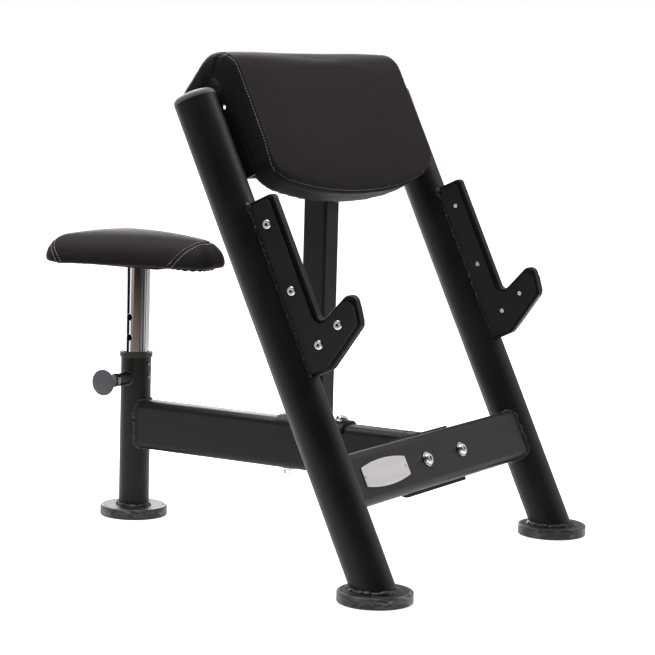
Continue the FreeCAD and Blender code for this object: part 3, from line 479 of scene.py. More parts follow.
class EffectShop:
    """Builds each shared node group once."""

    FLOAT = "NodeSocketFloat"
    VECTOR = "NodeSocketVector"
    PATTERN = {"Vector": VECTOR, "Scale": FLOAT}
    RELIEF = {"Height": FLOAT, "Tone": FLOAT}

    def __init__(self) -> None:
        """Start with no group built."""
        self.groups: dict[Effect, bpy.types.NodeTree] = {}

    def group(self, effect: Effect) -> bpy.types.NodeTree:
        """Node group of an effect, built when it is first asked for.

        Args:
            effect: the effect.
        Returns:
            Its group.
        """
        if effect not in self.groups:
            makers: dict[Effect, Callable[[], bpy.types.NodeTree]] = {
                Effect.GRAIN: self.grain,
                Effect.SOFT_EDGE: self.soft_edge,
                Effect.PEBBLE: self.pebble,
                Effect.SMEAR: self.smear,
                Effect.BRUSH: self.brush,
                Effect.CREVICE: self.crevice,
            }
            self.groups[effect] = makers[effect]()
        return self.groups[effect]

    def start(
        self, effect: Effect, inputs: dict[str, str], outputs: dict[str, str]
    ) -> tuple[Canvas, bpy.types.Node, bpy.types.Node]:
        """Empty group with its sockets.

        Args:
            effect: the effect that it is for.
            inputs: socket types by name.
            outputs: socket types by name.
        Returns:
            The canvas, the input node and the output node.
        """
        tree = bpy.data.node_groups.new(effect.value, "ShaderNodeTree")
        for name, kind in inputs.items():
            tree.interface.new_socket(name=name, in_out="INPUT", socket_type=kind)
        for name, kind in outputs.items():
            tree.interface.new_socket(name=name, in_out="OUTPUT", socket_type=kind)
        canvas = Canvas(tree)
        return canvas, canvas.add("NodeGroupInput"), canvas.add("NodeGroupOutput")

    def grain(self) -> bpy.types.NodeTree:
        """Orange-peel grain of a sprayed or moulded skin, with slow cloudiness.

        Returns:
            The group.
        """
        canvas, source, sink = self.start(Effect.GRAIN, self.PATTERN, self.RELIEF)
        vector, scale = source.outputs["Vector"], source.outputs["Scale"]
        coarse = canvas.noise(vector, scale, 2.0)
        fine = canvas.noise(vector, canvas.scaled(scale, 3.1), 3.0)
        height = canvas.sum("MULTIPLY_ADD", fine, 0.35, coarse)
        slow = canvas.noise(vector, canvas.scaled(scale, 0.012), 4.0, 0.6)
        canvas.feed(sink.inputs["Height"], height)
        canvas.feed(sink.inputs["Tone"], canvas.spread(slow, 0.32, 0.68))
        return canvas.tree

    def soft_edge(self) -> bpy.types.NodeTree:
        """Rounded look along sharp edges, with a mask of the edge and a bump over all.

        Returns:
            The group.
        """
        canvas, source, sink = self.start(
            Effect.SOFT_EDGE,
            {"Radius": self.FLOAT, "Height": self.FLOAT, "Depth": self.FLOAT},
            {"Normal": self.VECTOR, "Edge": self.FLOAT},
        )
        bevel = canvas.add("ShaderNodeBevel", {"Radius": source.outputs["Radius"]}, samples=6)
        flat = canvas.add("ShaderNodeNewGeometry").outputs["Normal"]
        match = canvas.add(
            "ShaderNodeVectorMath", {0: bevel.outputs[0], 1: flat}, operation="DOT_PRODUCT"
        )
        bump = canvas.add(
            "ShaderNodeBump",
            {
                "Strength": 1.0,
                "Distance": source.outputs["Depth"],
                "Height": source.outputs["Height"],
                "Normal": bevel.outputs[0],
            },
        )
        canvas.feed(sink.inputs["Normal"], bump.outputs[0])
        edge = canvas.spread(match.outputs["Value"], 0.985, 0.86)
        canvas.feed(sink.inputs["Edge"], edge)
        return canvas.tree

    def pebble(self) -> bpy.types.NodeTree:
        """Pressed leather-like grain of vinyl: cells with soft valleys, and faint drag lines.

        Returns:
            The group.
        """
        canvas, source, sink = self.start(Effect.PEBBLE, self.PATTERN, self.RELIEF)
        vector, scale = source.outputs["Vector"], source.outputs["Scale"]
        wander = canvas.add(
            "ShaderNodeTexNoise", {"Vector": vector, "Scale": canvas.scaled(scale, 0.35)}
        )
        pull = canvas.add(
            "ShaderNodeVectorMath",
            {0: wander.outputs["Color"], 3: 0.0012},
            operation="SCALE",
        )
        bent = canvas.add("ShaderNodeVectorMath", {0: vector, 1: pull.outputs[0]}, operation="ADD")
        cells = canvas.add(
            "ShaderNodeTexVoronoi",
            {"Vector": bent.outputs[0], "Scale": scale, "Randomness": 0.9},
            feature="DISTANCE_TO_EDGE",
        )
        domes = canvas.spread(cells.outputs["Distance"], 0.0, 0.32)
        pores = canvas.noise(vector, canvas.scaled(scale, 4.0), 2.0)
        canvas.feed(sink.inputs["Height"], canvas.sum("MULTIPLY_ADD", pores, 0.3, domes))
        slow = canvas.noise(vector, canvas.scaled(scale, 0.014), 4.0, 0.8)
        tone = canvas.sum("MULTIPLY", canvas.spread(slow, 0.3, 0.7, 0.35, 1.0), domes)
        canvas.feed(sink.inputs["Tone"], tone)
        return canvas.tree

    def smear(self) -> bpy.types.NodeTree:
        """Pale marbled smears and flecks, as on moulded reclaimed rubber.

        Returns:
            The group.
        """
        canvas, source, sink = self.start(
            Effect.SMEAR, self.PATTERN, {"Smear": self.FLOAT, "Fleck": self.FLOAT}
        )
        vector, scale = source.outputs["Vector"], source.outputs["Scale"]
        drawn = canvas.stretch(vector, (1.0, 1.0, 2.4))
        veins = canvas.noise(drawn, scale, 7.0, 1.8)
        patch = canvas.noise(vector, canvas.scaled(scale, 0.35), 2.0)
        streak = canvas.spread(veins, 0.44, 0.64)
        where = canvas.spread(patch, 0.40, 0.58, 0.12, 1.0)
        canvas.feed(sink.inputs["Smear"], canvas.sum("MULTIPLY", streak, where))
        crumbs = canvas.add(
            "ShaderNodeTexVoronoi", {"Vector": vector, "Scale": canvas.scaled(scale, 9.0)}
        )
        canvas.feed(sink.inputs["Fleck"], canvas.spread(crumbs.outputs["Distance"], 0.16, 0.05))
        return canvas.tree

    def brush(self) -> bpy.types.NodeTree:
        """Fine lines along X of the coordinates, with slow bands across them.

        Returns:
            The group.
        """
        canvas, source, sink = self.start(Effect.BRUSH, self.PATTERN, self.RELIEF)
        scale = source.outputs["Scale"]
        drawn = canvas.stretch(source.outputs["Vector"], (0.02, 1.0, 1.0))
        lines = canvas.noise(drawn, scale, 4.0)
        bands = canvas.noise(drawn, canvas.scaled(scale, 0.12), 2.0)
        canvas.feed(sink.inputs["Height"], lines)
        tone = canvas.sum("MULTIPLY_ADD", bands, 0.5, canvas.scaled(lines, 0.5))
        canvas.feed(sink.inputs["Tone"], tone)
        return canvas.tree

    def crevice(self) -> bpy.types.NodeTree:
        """Ambient-occlusion mask of open surface, low in sockets, slots and corners, used to paint
        shade there.

        Returns:
            The group.
        """
        canvas, source, sink = self.start(
            Effect.CREVICE, {"Reach": self.FLOAT}, {"Open": self.FLOAT}
        )
        hidden = canvas.add(
            "ShaderNodeAmbientOcclusion", {"Distance": source.outputs["Reach"]}, samples=6
        )
        canvas.feed(sink.inputs["Open"], canvas.spread(hidden.outputs["AO"], 0.30, 0.80))
        return canvas.tree


EFFECTS = EffectShop()


@dataclass(frozen=True)
class Finish:
    """What every finish has: its name, its colours and how it scatters light."""

    name: str
    colour: Colour
    pale: Colour
    roughness: tuple[float, float] = (0.45, 0.55)
    specular: float = 0.3
    metallic: float = 0.0
    edge: float = 1.2 * MM

    def open(self) -> tuple[Canvas, bpy.types.Node, bpy.types.NodeSocket]:
        """New material with its plain values set.

        Returns:
            The canvas, the Principled shader and the Object coordinates.
        """
        material = bpy.data.materials.new(self.name)
        material.use_nodes = True
        canvas = Canvas(material.node_tree)
        shader = next(n for n in material.node_tree.nodes if n.type == "BSDF_PRINCIPLED")
        shader.inputs["Specular IOR Level"].default_value = self.specular
        shader.inputs["Metallic"].default_value = self.metallic
        coordinates = canvas.add("ShaderNodeTexCoord").outputs["Object"]
        return canvas, shader, coordinates

    def place(self, canvas: Canvas, effect: Effect, **inputs: Value) -> bpy.types.Node:
        """Put a shared effect into a material.

        Args:
            canvas: the material's canvas.
            effect: which effect.
            inputs: its inputs by name.
        Returns:
            The group's node.
        """
        node = canvas.add("ShaderNodeGroup")
        node.node_tree = EFFECTS.group(effect)
        for key, value in inputs.items():
            canvas.feed(node.inputs[key], value)
        return node

    def skin(
        self, canvas: Canvas, shader: bpy.types.Node, height: Value, depth: float
    ) -> bpy.types.NodeSocket:
        """Give a shader rounded edges and a bump.

        Args:
            canvas: the material's canvas.
            shader: the Principled shader.
            height: the bump's height.
            depth: how deep a height of 1 is.
        Returns:
            The mask of the edges.
        """
        soft = self.place(canvas, Effect.SOFT_EDGE, Radius=self.edge, Height=height, Depth=depth)
        canvas.feed(shader.inputs["Normal"], soft.outputs["Normal"])
        return soft.outputs["Edge"]

    def emboss(
        self, canvas: Canvas, shader: bpy.types.Node, height: Value, press: float, depth: float
    ) -> None:
        """Give a soft shader a bump alone.

        Args:
            canvas: the material's canvas.
            shader: the Principled shader.
            height: the bump's height.
            press: how strong the bump is.
            depth: how deep a height of 1 is.
        """
        bump = canvas.add(
            "ShaderNodeBump", {"Strength": press, "Distance": depth, "Height": height}
        )
        canvas.feed(shader.inputs["Normal"], bump.outputs[0])

    def close(
        self, canvas: Canvas, shader: bpy.types.Node, colour: Value, tone: Value
    ) -> bpy.types.Material:
        """Give a shader its colour and its roughness.

        Args:
            canvas: the material's canvas.
            shader: the Principled shader.
            colour: the colour over the surface.
            tone: where the roughness goes from its lower value to its higher.
        Returns:
            The finished material.
        """
        canvas.feed(shader.inputs["Base Color"], colour)
        canvas.feed(shader.inputs["Roughness"], canvas.spread(tone, 0.0, 1.0, *self.roughness))
        return bpy.data.materials[self.name]

    def build(self) -> bpy.types.Material:
        """Material of the finish."""
        raise NotImplementedError


@dataclass(frozen=True)
class PaintFinish(Finish):
    """Powder coat or moulded plastic: orange-peel grain, cloudy gloss, edges paler from a thin coat
    and a painted highlight.
    """

    grain: float = 620.0
    depth: float = 0.10 * MM
    # how far the edges go pale: partly a thinner coat, partly a painted highlight
    edge_wear_and_highlight: float = 0.6
    cloud: float = 0.35

    def build(self) -> bpy.types.Material:
        """Make the material.

        Returns:
            The material of the finish.
        """
        canvas, shader, place = self.open()
        grain = self.place(canvas, Effect.GRAIN, Vector=place, Scale=self.grain)
        edge = self.skin(canvas, shader, grain.outputs["Height"], self.depth)
        tone = grain.outputs["Tone"]
        cloud = canvas.spread(tone, 0.0, 1.0, 0.0, self.cloud)
        # edges paler: partly a thinner coat, partly a painted highlight along the rounded edges
        mix = canvas.sum("MAXIMUM", cloud, canvas.scaled(edge, self.edge_wear_and_highlight))
        return self.close(canvas, shader, canvas.tint(mix, self.colour, self.pale), tone)


@dataclass(frozen=True)
class RubberFinish(Finish):
    """Moulded rubber with pale marbled smears and crumbs, and a pale rim that is a painted
    highlight.
    """

    scale: float = 30.0
    grain: float = 420.0
    depth: float = 0.16 * MM
    fleck: float = 0.35
    # how pale the rim goes: a painted highlight along it
    edge_wear_and_highlight: float = 1.0

    def build(self) -> bpy.types.Material:
        """Make the material.

        Returns:
            The material of the finish.
        """
        canvas, shader, place = self.open()
        marble = self.place(canvas, Effect.SMEAR, Vector=place, Scale=self.scale)
        grain = self.place(canvas, Effect.GRAIN, Vector=place, Scale=self.grain)
        edge = self.skin(canvas, shader, grain.outputs["Height"], self.depth)
        smear = marble.outputs["Smear"]
        fleck = canvas.scaled(marble.outputs["Fleck"], self.fleck)
        mix = canvas.sum("MAXIMUM", smear, fleck)
        # painted highlight: the rim takes the pale colour where light would catch it
        mix = canvas.sum("MAXIMUM", mix, canvas.scaled(edge, self.edge_wear_and_highlight))
        return self.close(canvas, shader, canvas.tint(mix, self.colour, self.pale), smear)


@dataclass(frozen=True)
class MetalFinish(Finish):
    """Bare or plated steel with fine drawn lines, painted shade in its crevices and painted
    highlights on its edges.
    """

    lines: float = 900.0
    depth: float = 0.02 * MM
    turn: tuple[float, float, float] = (0.0, 0.0, 0.0)
    reach: float = 5.0 * MM
    # colour of the painted shade in sockets, slots and corners
    painted_shade: Colour = (0.012, 0.012, 0.012)

    def build(self) -> bpy.types.Material:
        """Make the material.

        Returns:
            The material of the finish.
        """
        canvas, shader, place = self.open()
        turned = canvas.stretch(place, (1.0, 1.0, 1.0), self.turn)
        brush = self.place(canvas, Effect.BRUSH, Vector=turned, Scale=self.lines)
        edge = self.skin(canvas, shader, brush.outputs["Height"], self.depth)
        tone = canvas.spread(brush.outputs["Tone"], 0.3, 0.7)
        # painted highlight: the edge mask lifts edges to the pale colour, as glints along them
        clean = canvas.tint(canvas.sum("MAXIMUM", tone, edge), self.colour, self.pale)
        # painted shade: the occlusion mask darkens sockets, slots and corners towards the shade
        # colour
        crevice = self.place(canvas, Effect.CREVICE, Reach=self.reach)
        colour = canvas.tint(crevice.outputs["Open"], self.painted_shade, clean)
        return self.close(canvas, shader, colour, tone)


@dataclass(frozen=True)
class VinylFinish(Finish):
    """Matte upholstery vinyl with a pressed grain."""

    grain: float = 620.0
    depth: float = 0.16 * MM
    press: float = 0.7

    def build(self) -> bpy.types.Material:
        """Make the material.

        Returns:
            The material of the finish.
        """
        canvas, shader, place = self.open()
        pebble = self.place(canvas, Effect.PEBBLE, Vector=place, Scale=self.grain)
        self.emboss(canvas, shader, pebble.outputs["Height"], self.press, self.depth)
        tone = pebble.outputs["Tone"]
        return self.close(canvas, shader, canvas.tint(tone, self.colour, self.pale), tone)


@dataclass(frozen=True)
class ThreadFinish(Finish):
    """Twisted sewing thread."""

    twist: float = 2400.0
    depth: float = 0.1 * MM
    press: float = 0.6

    def build(self) -> bpy.types.Material:
        """Make the material.

        Returns:
            The material of the finish.
        """
        canvas, shader, place = self.open()
        twist = canvas.noise(place, self.twist, 2.0)
        self.emboss(canvas, shader, twist, self.press, self.depth)
        tone = canvas.spread(twist, 0.3, 0.7)
        return self.close(canvas, shader, canvas.tint(tone, self.colour, self.pale), tone)


@dataclass(frozen=True)
class PlyFinish(Finish):
    """Black-stained plywood: long grain that shows through the stain."""

    board: tuple[float, float, float] = (6.0, 60.0, 60.0)
    fibre: tuple[float, float, float] = (40.0, 900.0, 900.0)
    depth: float = 0.05 * MM

    def build(self) -> bpy.types.Material:
        """Make the material.

        Returns:
            The material of the finish.
        """
        canvas, shader, place = self.open()
        grain = canvas.noise(canvas.stretch(place, self.board), 6.0, 6.0, 1.4)
        fibre = canvas.noise(canvas.stretch(place, self.fibre), 1.0, 3.0)
        tone = canvas.spread(canvas.sum("MULTIPLY_ADD", fibre, 0.4, grain), 0.45, 0.95)
        self.skin(canvas, shader, fibre, self.depth)
        return self.close(canvas, shader, canvas.tint(tone, self.colour, self.pale), tone)


class Slot(Enum):
    """Material slots of the record, each with its finish."""

    FRAME = "frame_paint"
    FOOT_STEEL = "foot_steel"
    RUBBER = "foot_rubber"
    CAP = "cap_plastic"
    LINER = "liner_plastic"
    PLATE = "plate_metal"
    BRIGHT = "bright_steel"
    DARK = "dark_steel"
    CHROME = "chrome"
    BUSH = "bush_plastic"
    KNOB = "knob_plastic"
    VINYL = "vinyl"
    PLY = "plywood"


FINISHES: dict[Slot, Finish] = {
    Slot.FRAME: PaintFinish(
        "black_powder_coat", (0.0051, 0.0048, 0.0047), (0.0136, 0.0131, 0.0129), (0.40, 0.50), 0.20
    ),
    Slot.FOOT_STEEL: PaintFinish(
        "foot_paint", (0.014, 0.0137, 0.0133), (0.040, 0.039, 0.038), (0.42, 0.55), 0.25
    ),
    Slot.RUBBER: RubberFinish(
        "marbled_rubber",
        (0.010, 0.010, 0.010),
        (0.150, 0.157, 0.170),
        (0.34, 0.56),
        0.30,
        edge=3.4 * MM,
    ),
    Slot.CAP: PaintFinish(
        "cap_skin", (0.086, 0.087, 0.092), (0.150, 0.152, 0.160), (0.42, 0.5), 0.25, grain=900.0
    ),
    Slot.LINER: PaintFinish(
        "liner_skin",
        (0.0058, 0.0056, 0.0055),
        (0.014, 0.014, 0.014),
        (0.36, 0.46),
        0.11,
        edge=1.6 * MM,
    ),
    Slot.PLATE: MetalFinish(
        "satin_plate", (0.41, 0.41, 0.42), (0.52, 0.52, 0.53), (0.40, 0.52), 0.3, 0.35
    ),
    Slot.BRIGHT: MetalFinish(
        "zinc_plate", (0.62, 0.61, 0.59), (0.78, 0.78, 0.77), (0.20, 0.32), 0.5, 1.0, 0.8 * MM
    ),
    Slot.DARK: MetalFinish(
        "black_oxide", (0.045, 0.045, 0.045), (0.20, 0.20, 0.195), (0.18, 0.30), 0.5, 1.0, 0.8 * MM
    ),
    Slot.CHROME: MetalFinish(
        "polished_chrome",
        (0.62, 0.62, 0.63),
        (0.68, 0.68, 0.69),
        (0.04, 0.09),
        0.5,
        1.0,
        0.6 * MM,
        lines=1400.0,
        depth=0.002 * MM,
        turn=(0.0, math.pi / 2, 0.0),
    ),
    Slot.BUSH: PaintFinish(
        "bush_skin", (0.022, 0.022, 0.023), (0.05, 0.05, 0.052), (0.45, 0.55), 0.25, grain=900.0
    ),
    Slot.KNOB: PaintFinish(
        "knob_skin", (0.070, 0.072, 0.079), (0.100, 0.102, 0.109), (0.46, 0.56), 0.25, grain=1100.0
    ),
    Slot.VINYL: VinylFinish(
        "black_vinyl", (0.0144, 0.0119, 0.0120), (0.0215, 0.0179, 0.0180), (0.42, 0.52), 0.018
    ),
    Slot.PLY: PlyFinish(
        "stained_plywood", (0.012, 0.0105, 0.0095), (0.036, 0.030, 0.026), (0.6, 0.75), 0.2
    ),
}
THREAD = ThreadFinish("grey_thread", (0.26, 0.26, 0.27), (0.38, 0.38, 0.39), (0.65, 0.8), 0.2)
# painted highlight: a paler copy of the frame's black paint, paler still on the drops' edges, to
# show their glints
WELD = PaintFinish(
    "highlit_weld_paint",
    (0.0075, 0.0070, 0.0068),
    (0.026, 0.025, 0.024),
    (0.30, 0.42),
    0.32,
    edge=0.6 * MM,
    grain=900.0,
)


class Wardrobe:
    """Dresses the solids in their finishes, and new pieces in the finish of a slot."""

    def __init__(self) -> None:
        """Build each slot's material and list the nodes of each slot."""
        self.materials = {slot: finish.build() for slot, finish in FINISHES.items()}
        self.thread = THREAD.build()
        self.weld = WELD.build()
        rows = frame["record"]["subparts"]
        self.nodes = {
            slot: [r["node"] for r in rows if r["material_slot"] == slot.value] for slot in Slot
        }

    def dress_solids(self) -> None:
        """Give every solid the material of its slot."""
        for slot, names in self.nodes.items():
            for name in names:
                solid = frame["nodes"][name]
                if not solid.material_slots:
                    solid.data.materials.append(self.materials[slot])
                for held in solid.material_slots:
                    held.material = self.materials[slot]
            log.info("%s on %d solids", slot.value, len(names))

    def dress(
        self, piece: bpy.types.Object, slot: Slot, material: bpy.types.Material | None = None
    ) -> None:
        """Give a new piece the material of a slot, or a material of its own.

        Args:
            piece: the new piece.
            slot: the record's slot.
            material: a material of its own, where it doesn't wear the slot's.
        """
        piece.data.materials.clear()
        piece.data.materials.append(material or self.materials[slot])


# ------------------------------------------------------------------ welds


@dataclass
class WeldRun:
    """One weld: where it runs and which way its crown points."""

    points: list[Vector]
    crowns: list[Vector]
    closed: bool = True
    size: float = 1.0
    missing: float = 0.0


@dataclass
class WeldBeads:
    """Overlapping weld drops along every joint of the steel frame."""

    lean: LeanFrame
    pitch: float = 5.0 * MM
    length: float = 0.95
    width: float = 3.6 * MM
    crown: float = 3.0 * MM
    post_x: float = 348.5 * MM
    post_radius: float = 38.0 * MM
    seat_post_y: float = 331.5 * MM
    seat_post_radius: float = 30.0 * MM
    foot_top: float = 20.0 * MM
    beam_half: tuple[float, float] = (25.0 * MM, 48.0 * MM)
    beam_corner: float = 15.0 * MM
    cross_rise: float = 207.6 * MM
    main_rise: float = 184.3 * MM
    clamp_back: float = 31.0 * MM
    saddle_top: float = 238.3 * MM
    centre_post_y: float = -84.56 * MM
    centre_post_half: float = 25.0 * MM
    centre_post_corner: float = 6.0 * MM
    carrier: tuple[float, float] = (766.0 * MM, 887.0 * MM)
    carrier_back: float = 14.0 * MM
    hook_outs: tuple[float, float] = (14.0 * MM, -18.0 * MM)
    hook_span: tuple[float, float] = (402.0 * MM, 706.0 * MM)
    pin_rise: float = 275.5 * MM
    housing_radius: float = 12.5 * MM
    foot_size: float = 2.2
    beam_size: float = 1.3
    hidden_size: float = 0.3
    hook_size: float = 1.05
    hook_missing: float = 0.16
    hook_crown: tuple[float, float] = (0.7, 0.45)
    lump_size: float = 1.9
    lump_run: float = 2.0 * MM
    carrier_size: float = 0.9
    housing_size: float = 1.1
    drop_facets: tuple[int, int] = (8, 5)
    drop_shape: tuple[float, float, float] = (1.15, 1.0, 0.72)
    drop_tail: float = 0.25
    swell: tuple[float, float] = (0.78, 1.22)
    stretch: tuple[float, float] = (0.9, 1.25)
    heap: tuple[float, float] = (0.8, 1.25)
    sway: float = 0.7
    slip: float = 0.8
    bore_margin: float = 1.5 * MM
    merge: float = 1e-7
    steps: int = 48
    corner_steps: int = 9
    seed: int = 7

    def beam_ring(self) -> Ring:
        """Outline of a beam's section, as places and outward directions."""
        return self.section_ring(*self.beam_half, self.beam_corner)

    def section_ring(self, half_w: float, half_h: float, corner: float) -> Ring:
        """Outline of a rounded section.

        Args:
            half_w: half its width.
            half_h: half its height.
            corner: its corner radius.
        Returns:
            (u, v, outward u, outward v) of each point.
        """
        signs = ((-1, -1), (1, -1), (1, 1), (-1, 1))
        line = rounded([(a * half_w, b * half_h, corner) for a, b in signs], self.corner_steps)
        ring = []
        for i, (u, v) in enumerate(line):
            ahead = Vector(line[(i + 1) % len(line)]) - Vector(line[i - 1])
            out = Vector((ahead.y, -ahead.x)).normalized()
            ring.append((u, v, out.x, out.y))
        return ring

    def circle(self) -> list[tuple[float, float]]:
        """Cosine and sine round a full turn."""
        turns = [2 * math.pi * i / self.steps for i in range(self.steps)]
        return [(math.cos(t), math.sin(t)) for t in turns]

    def foot_runs(self) -> list[WeldRun]:
        """Welds of the three posts on their foot discs.

        Returns:
            One run for each post.
        """
        turns = self.circle()
        crowns = [Vector((c, s, 1)) for c, s in turns]
        slope = math.cos(self.lean.lean)
        posts = [
            (self.lean.point(side * self.post_x, self.foot_top / slope, 0), self.post_radius, slope)
            for side in (-1, 1)
        ]
        posts.append((Vector((0, self.seat_post_y, self.foot_top)), self.seat_post_radius, 1.0))
        runs = []
        for middle, radius, shrink in posts:
            points = [middle + Vector((radius * c, radius / shrink * s, 0)) for c, s in turns]
            runs.append(WeldRun(points, crowns, size=self.foot_size))
        return runs

    def beam_runs(self) -> list[WeldRun]:
        """Welds of the cross beam on the leaning posts, and of the main beam on its two ends.

        Returns:
            One run for each end of a beam.
        """
        runs = []
        for side in (-1, 1):
            points, crowns = [], []
            for m, q, out_m, out_q in self.beam_ring():
                x = self.post_x - math.sqrt(self.post_radius ** 2 - m ** 2)
                points.append(self.lean.point(side * x, self.cross_rise + q, m))
                crowns.append(self.lean.direction(-side, out_q, out_m))
            runs.append(WeldRun(points, crowns, size=self.beam_size))
        points, crowns, front, front_crowns = [], [], [], []
        for x, q, out_x, out_q in self.beam_ring():
            y = self.seat_post_y - math.sqrt(self.seat_post_radius ** 2 - x ** 2)
            z = self.main_rise + q
            points.append(Vector((x, y, z)))
            crowns.append(Vector((out_x, -1, out_q)))
            front.append(Vector((x, self.lean.depth_on(z, -self.clamp_back), z)))
            front_crowns.append(Vector((out_x, 1, out_q)))
        runs.append(WeldRun(points, crowns, size=self.beam_size))
        runs.append(WeldRun(front, front_crowns, size=self.hidden_size))
        return runs

    def post_runs(self) -> list[WeldRun]:
        """Welds of the centre post on its saddle and on the pad carrier.

        Returns:
            The lower run and the upper one.
        """
        low, low_crowns, high, high_crowns = [], [], [], []
        half = self.centre_post_half
        for x, depth, out_x, out_y in self.section_ring(half, half, self.centre_post_corner):
            y = self.centre_post_y + depth
            low.append(Vector((x, y, self.saddle_top)))
            low_crowns.append(Vector((out_x, out_y, 1)))
            high.append(Vector((x, y, self.lean.height_on(y, self.carrier_back))))
            high_crowns.append(Vector((out_x, out_y, 0)) - self.lean.direction(0, 0, 1))
        return [WeldRun(low, low_crowns), WeldRun(high, high_crowns, size=self.carrier_size)]

    def plate_runs(self) -> list[WeldRun]:
        """Welds of the bar rests and of the pad carrier along the leaning posts.

        Returns:
            A run and an end lump for each plate of a rest, and a run for each end of the carrier.
        """
        runs = []
        carrier_x = self.post_x - math.sqrt(self.post_radius ** 2 - self.carrier_back ** 2)
        across, ahead = self.hook_crown
        for side in (-1, 1):
            for out in self.hook_outs:
                crown = self.lean.direction(math.copysign(side, side * out) * across, 0, ahead)
                hook_m = math.sqrt(self.post_radius ** 2 - out ** 2)
                x = side * (self.post_x + out)
                ends = [self.lean.point(x, s, hook_m) for s in self.hook_span]
                runs.append(
                    WeldRun(ends, [crown, crown], False, self.hook_size, self.hook_missing)
                )
                lump = [ends[1], ends[1] + self.lean.direction(0, -self.lump_run, 0)]
                runs.append(WeldRun(lump, [crown, crown], False, self.lump_size))
            crown = self.lean.direction(-side, 0, -1)
            ends = [self.lean.point(side * carrier_x, s, self.carrier_back) for s in self.carrier]
            runs.append(WeldRun(ends, [crown, crown], False))
        return runs

    def housing_run(self) -> WeldRun:
        """Weld of the pull pin's housing on the seat post.

        Returns:
            The run round the housing.
        """
        points, crowns = [], []
        for c, s in self.circle():
            y, z = self.housing_radius * c, self.housing_radius * s
            x = -math.sqrt(self.seat_post_radius ** 2 - y ** 2)
            points.append(Vector((x, self.seat_post_y + y, self.pin_rise + z)))
            crowns.append(Vector((-1, c, s)))
        return WeldRun(points, crowns, size=self.housing_size)

    def drop(self) -> bpy.types.Object:
        """One weld drop: a flattened bead whose trailing side is drawn down.

        Returns:
            The drop, of unit size, at the origin.
        """
        Bench.clear()
        segments, rings = self.drop_facets
        bpy.ops.mesh.primitive_uv_sphere_add(
            segments=segments, ring_count=rings, radius=1.0, location=(0, 0, 0)
        )
        model = bpy.context.object
        bpy.ops.object.mode_set(mode="EDIT")
        bpy.ops.mesh.select_all(action="SELECT")
        bpy.ops.transform.resize(value=self.drop_shape)
        bpy.ops.object.mode_set(mode="OBJECT")
        for vertex in model.data.vertices:
            vertex.co.z *= 1.0 + self.drop_tail * vertex.co.x
        return model

    def places(self, run: WeldRun, dice: random.Random) -> list[Matrix]:
        """Where each drop of one weld goes.

        Args:
            run: the weld.
            dice: the seeded source of the drops' unevenness.
        Returns:
            A placement for each drop.
        """
        line = Path(run.points, run.closed)
        crowns = run.crowns + [run.crowns[0]] if run.closed else run.crowns
        heads = np.array([tuple(c.normalized()) for c in crowns])
        spots = []
        count = max(2, round(line.length / (self.pitch * run.size)))
        for i in range(count if run.closed else count + 1):
            if dice.random() < run.missing:
                continue
            d = line.length * i / count
            ahead = line.heading(d, self.pitch)
            up = Vector([np.interp(d, line.marks, heads[:, k]) for k in range(3)])
            up = (up - ahead * up.dot(ahead)).normalized()
            swell = run.size * dice.uniform(*self.swell)
            size = Matrix.Diagonal((
                self.pitch * self.length * run.size * dice.uniform(*self.stretch),
                self.width * swell,
                self.crown * swell * dice.uniform(*self.heap),
                1.0,
            ))
            nudge = up.cross(ahead) * dice.uniform(-self.sway, self.sway) * MM
            nudge += ahead * dice.uniform(-self.slip, self.slip) * MM
            spots.append(Matrix.Translation(line.at(d) + nudge) @ laid(ahead, up) @ size)
        return spots

    def clear_bore(self, beads: bpy.types.Object) -> None:
        """Draw the drops on the seat post back into its wall, to leave its bore to the seat's tube.

        Args:
            beads: all the drops, as one piece.
        """
        keep = self.seat_post_radius - self.bore_margin
        for vertex in beads.data.vertices:
            out = Vector((vertex.co.x, vertex.co.y - self.seat_post_y))
            if out.length < keep:
                out = keep * out.normalized()
                vertex.co.x, vertex.co.y = out.x, self.seat_post_y + out.y

    def build(self, wardrobe: Wardrobe) -> None:
        """Lay every weld as one piece on the frame.

        Args:
            wardrobe: where the weld's paint comes from.
        """
        dice = random.Random(self.seed)
        runs = self.foot_runs() + self.beam_runs() + self.post_runs() + self.plate_runs()
        runs.append(self.housing_run())
        places = [place for run in runs for place in self.places(run, dice)]
        beads = Bench.copies("weld_beads", self.drop(), places)
        self.clear_bore(beads)
        Bench.clean(beads, self.merge)
        Bench.smooth(beads)
        # the drops wear the paler copy of the frame paint, a painted highlight
        wardrobe.dress(beads, Slot.FRAME, wardrobe.weld)
        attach(beads, "frame")
        log.info("weld_beads: %d drops in %d runs", len(places), len(runs))


# ------------------------------------------------------------------ cushions


@dataclass
class Seam:
    """Sewn line on a cover: the points that it passes, how deep it draws in and its stitching."""

    points: list[Vector]
    closed: bool = False
    depth: float = 1.8 * MM
    stitch_offsets: tuple[float, ...] = ()
    thread: float = 1.0


CLOTH: dict[str, float] = {
    "quality": 5,
    "mass": 0.3,
    "tension_stiffness": 18.0,
    "compression_stiffness": 18.0,
    "shear_stiffness": 6.0,
    "bending_stiffness": 0.8,
}


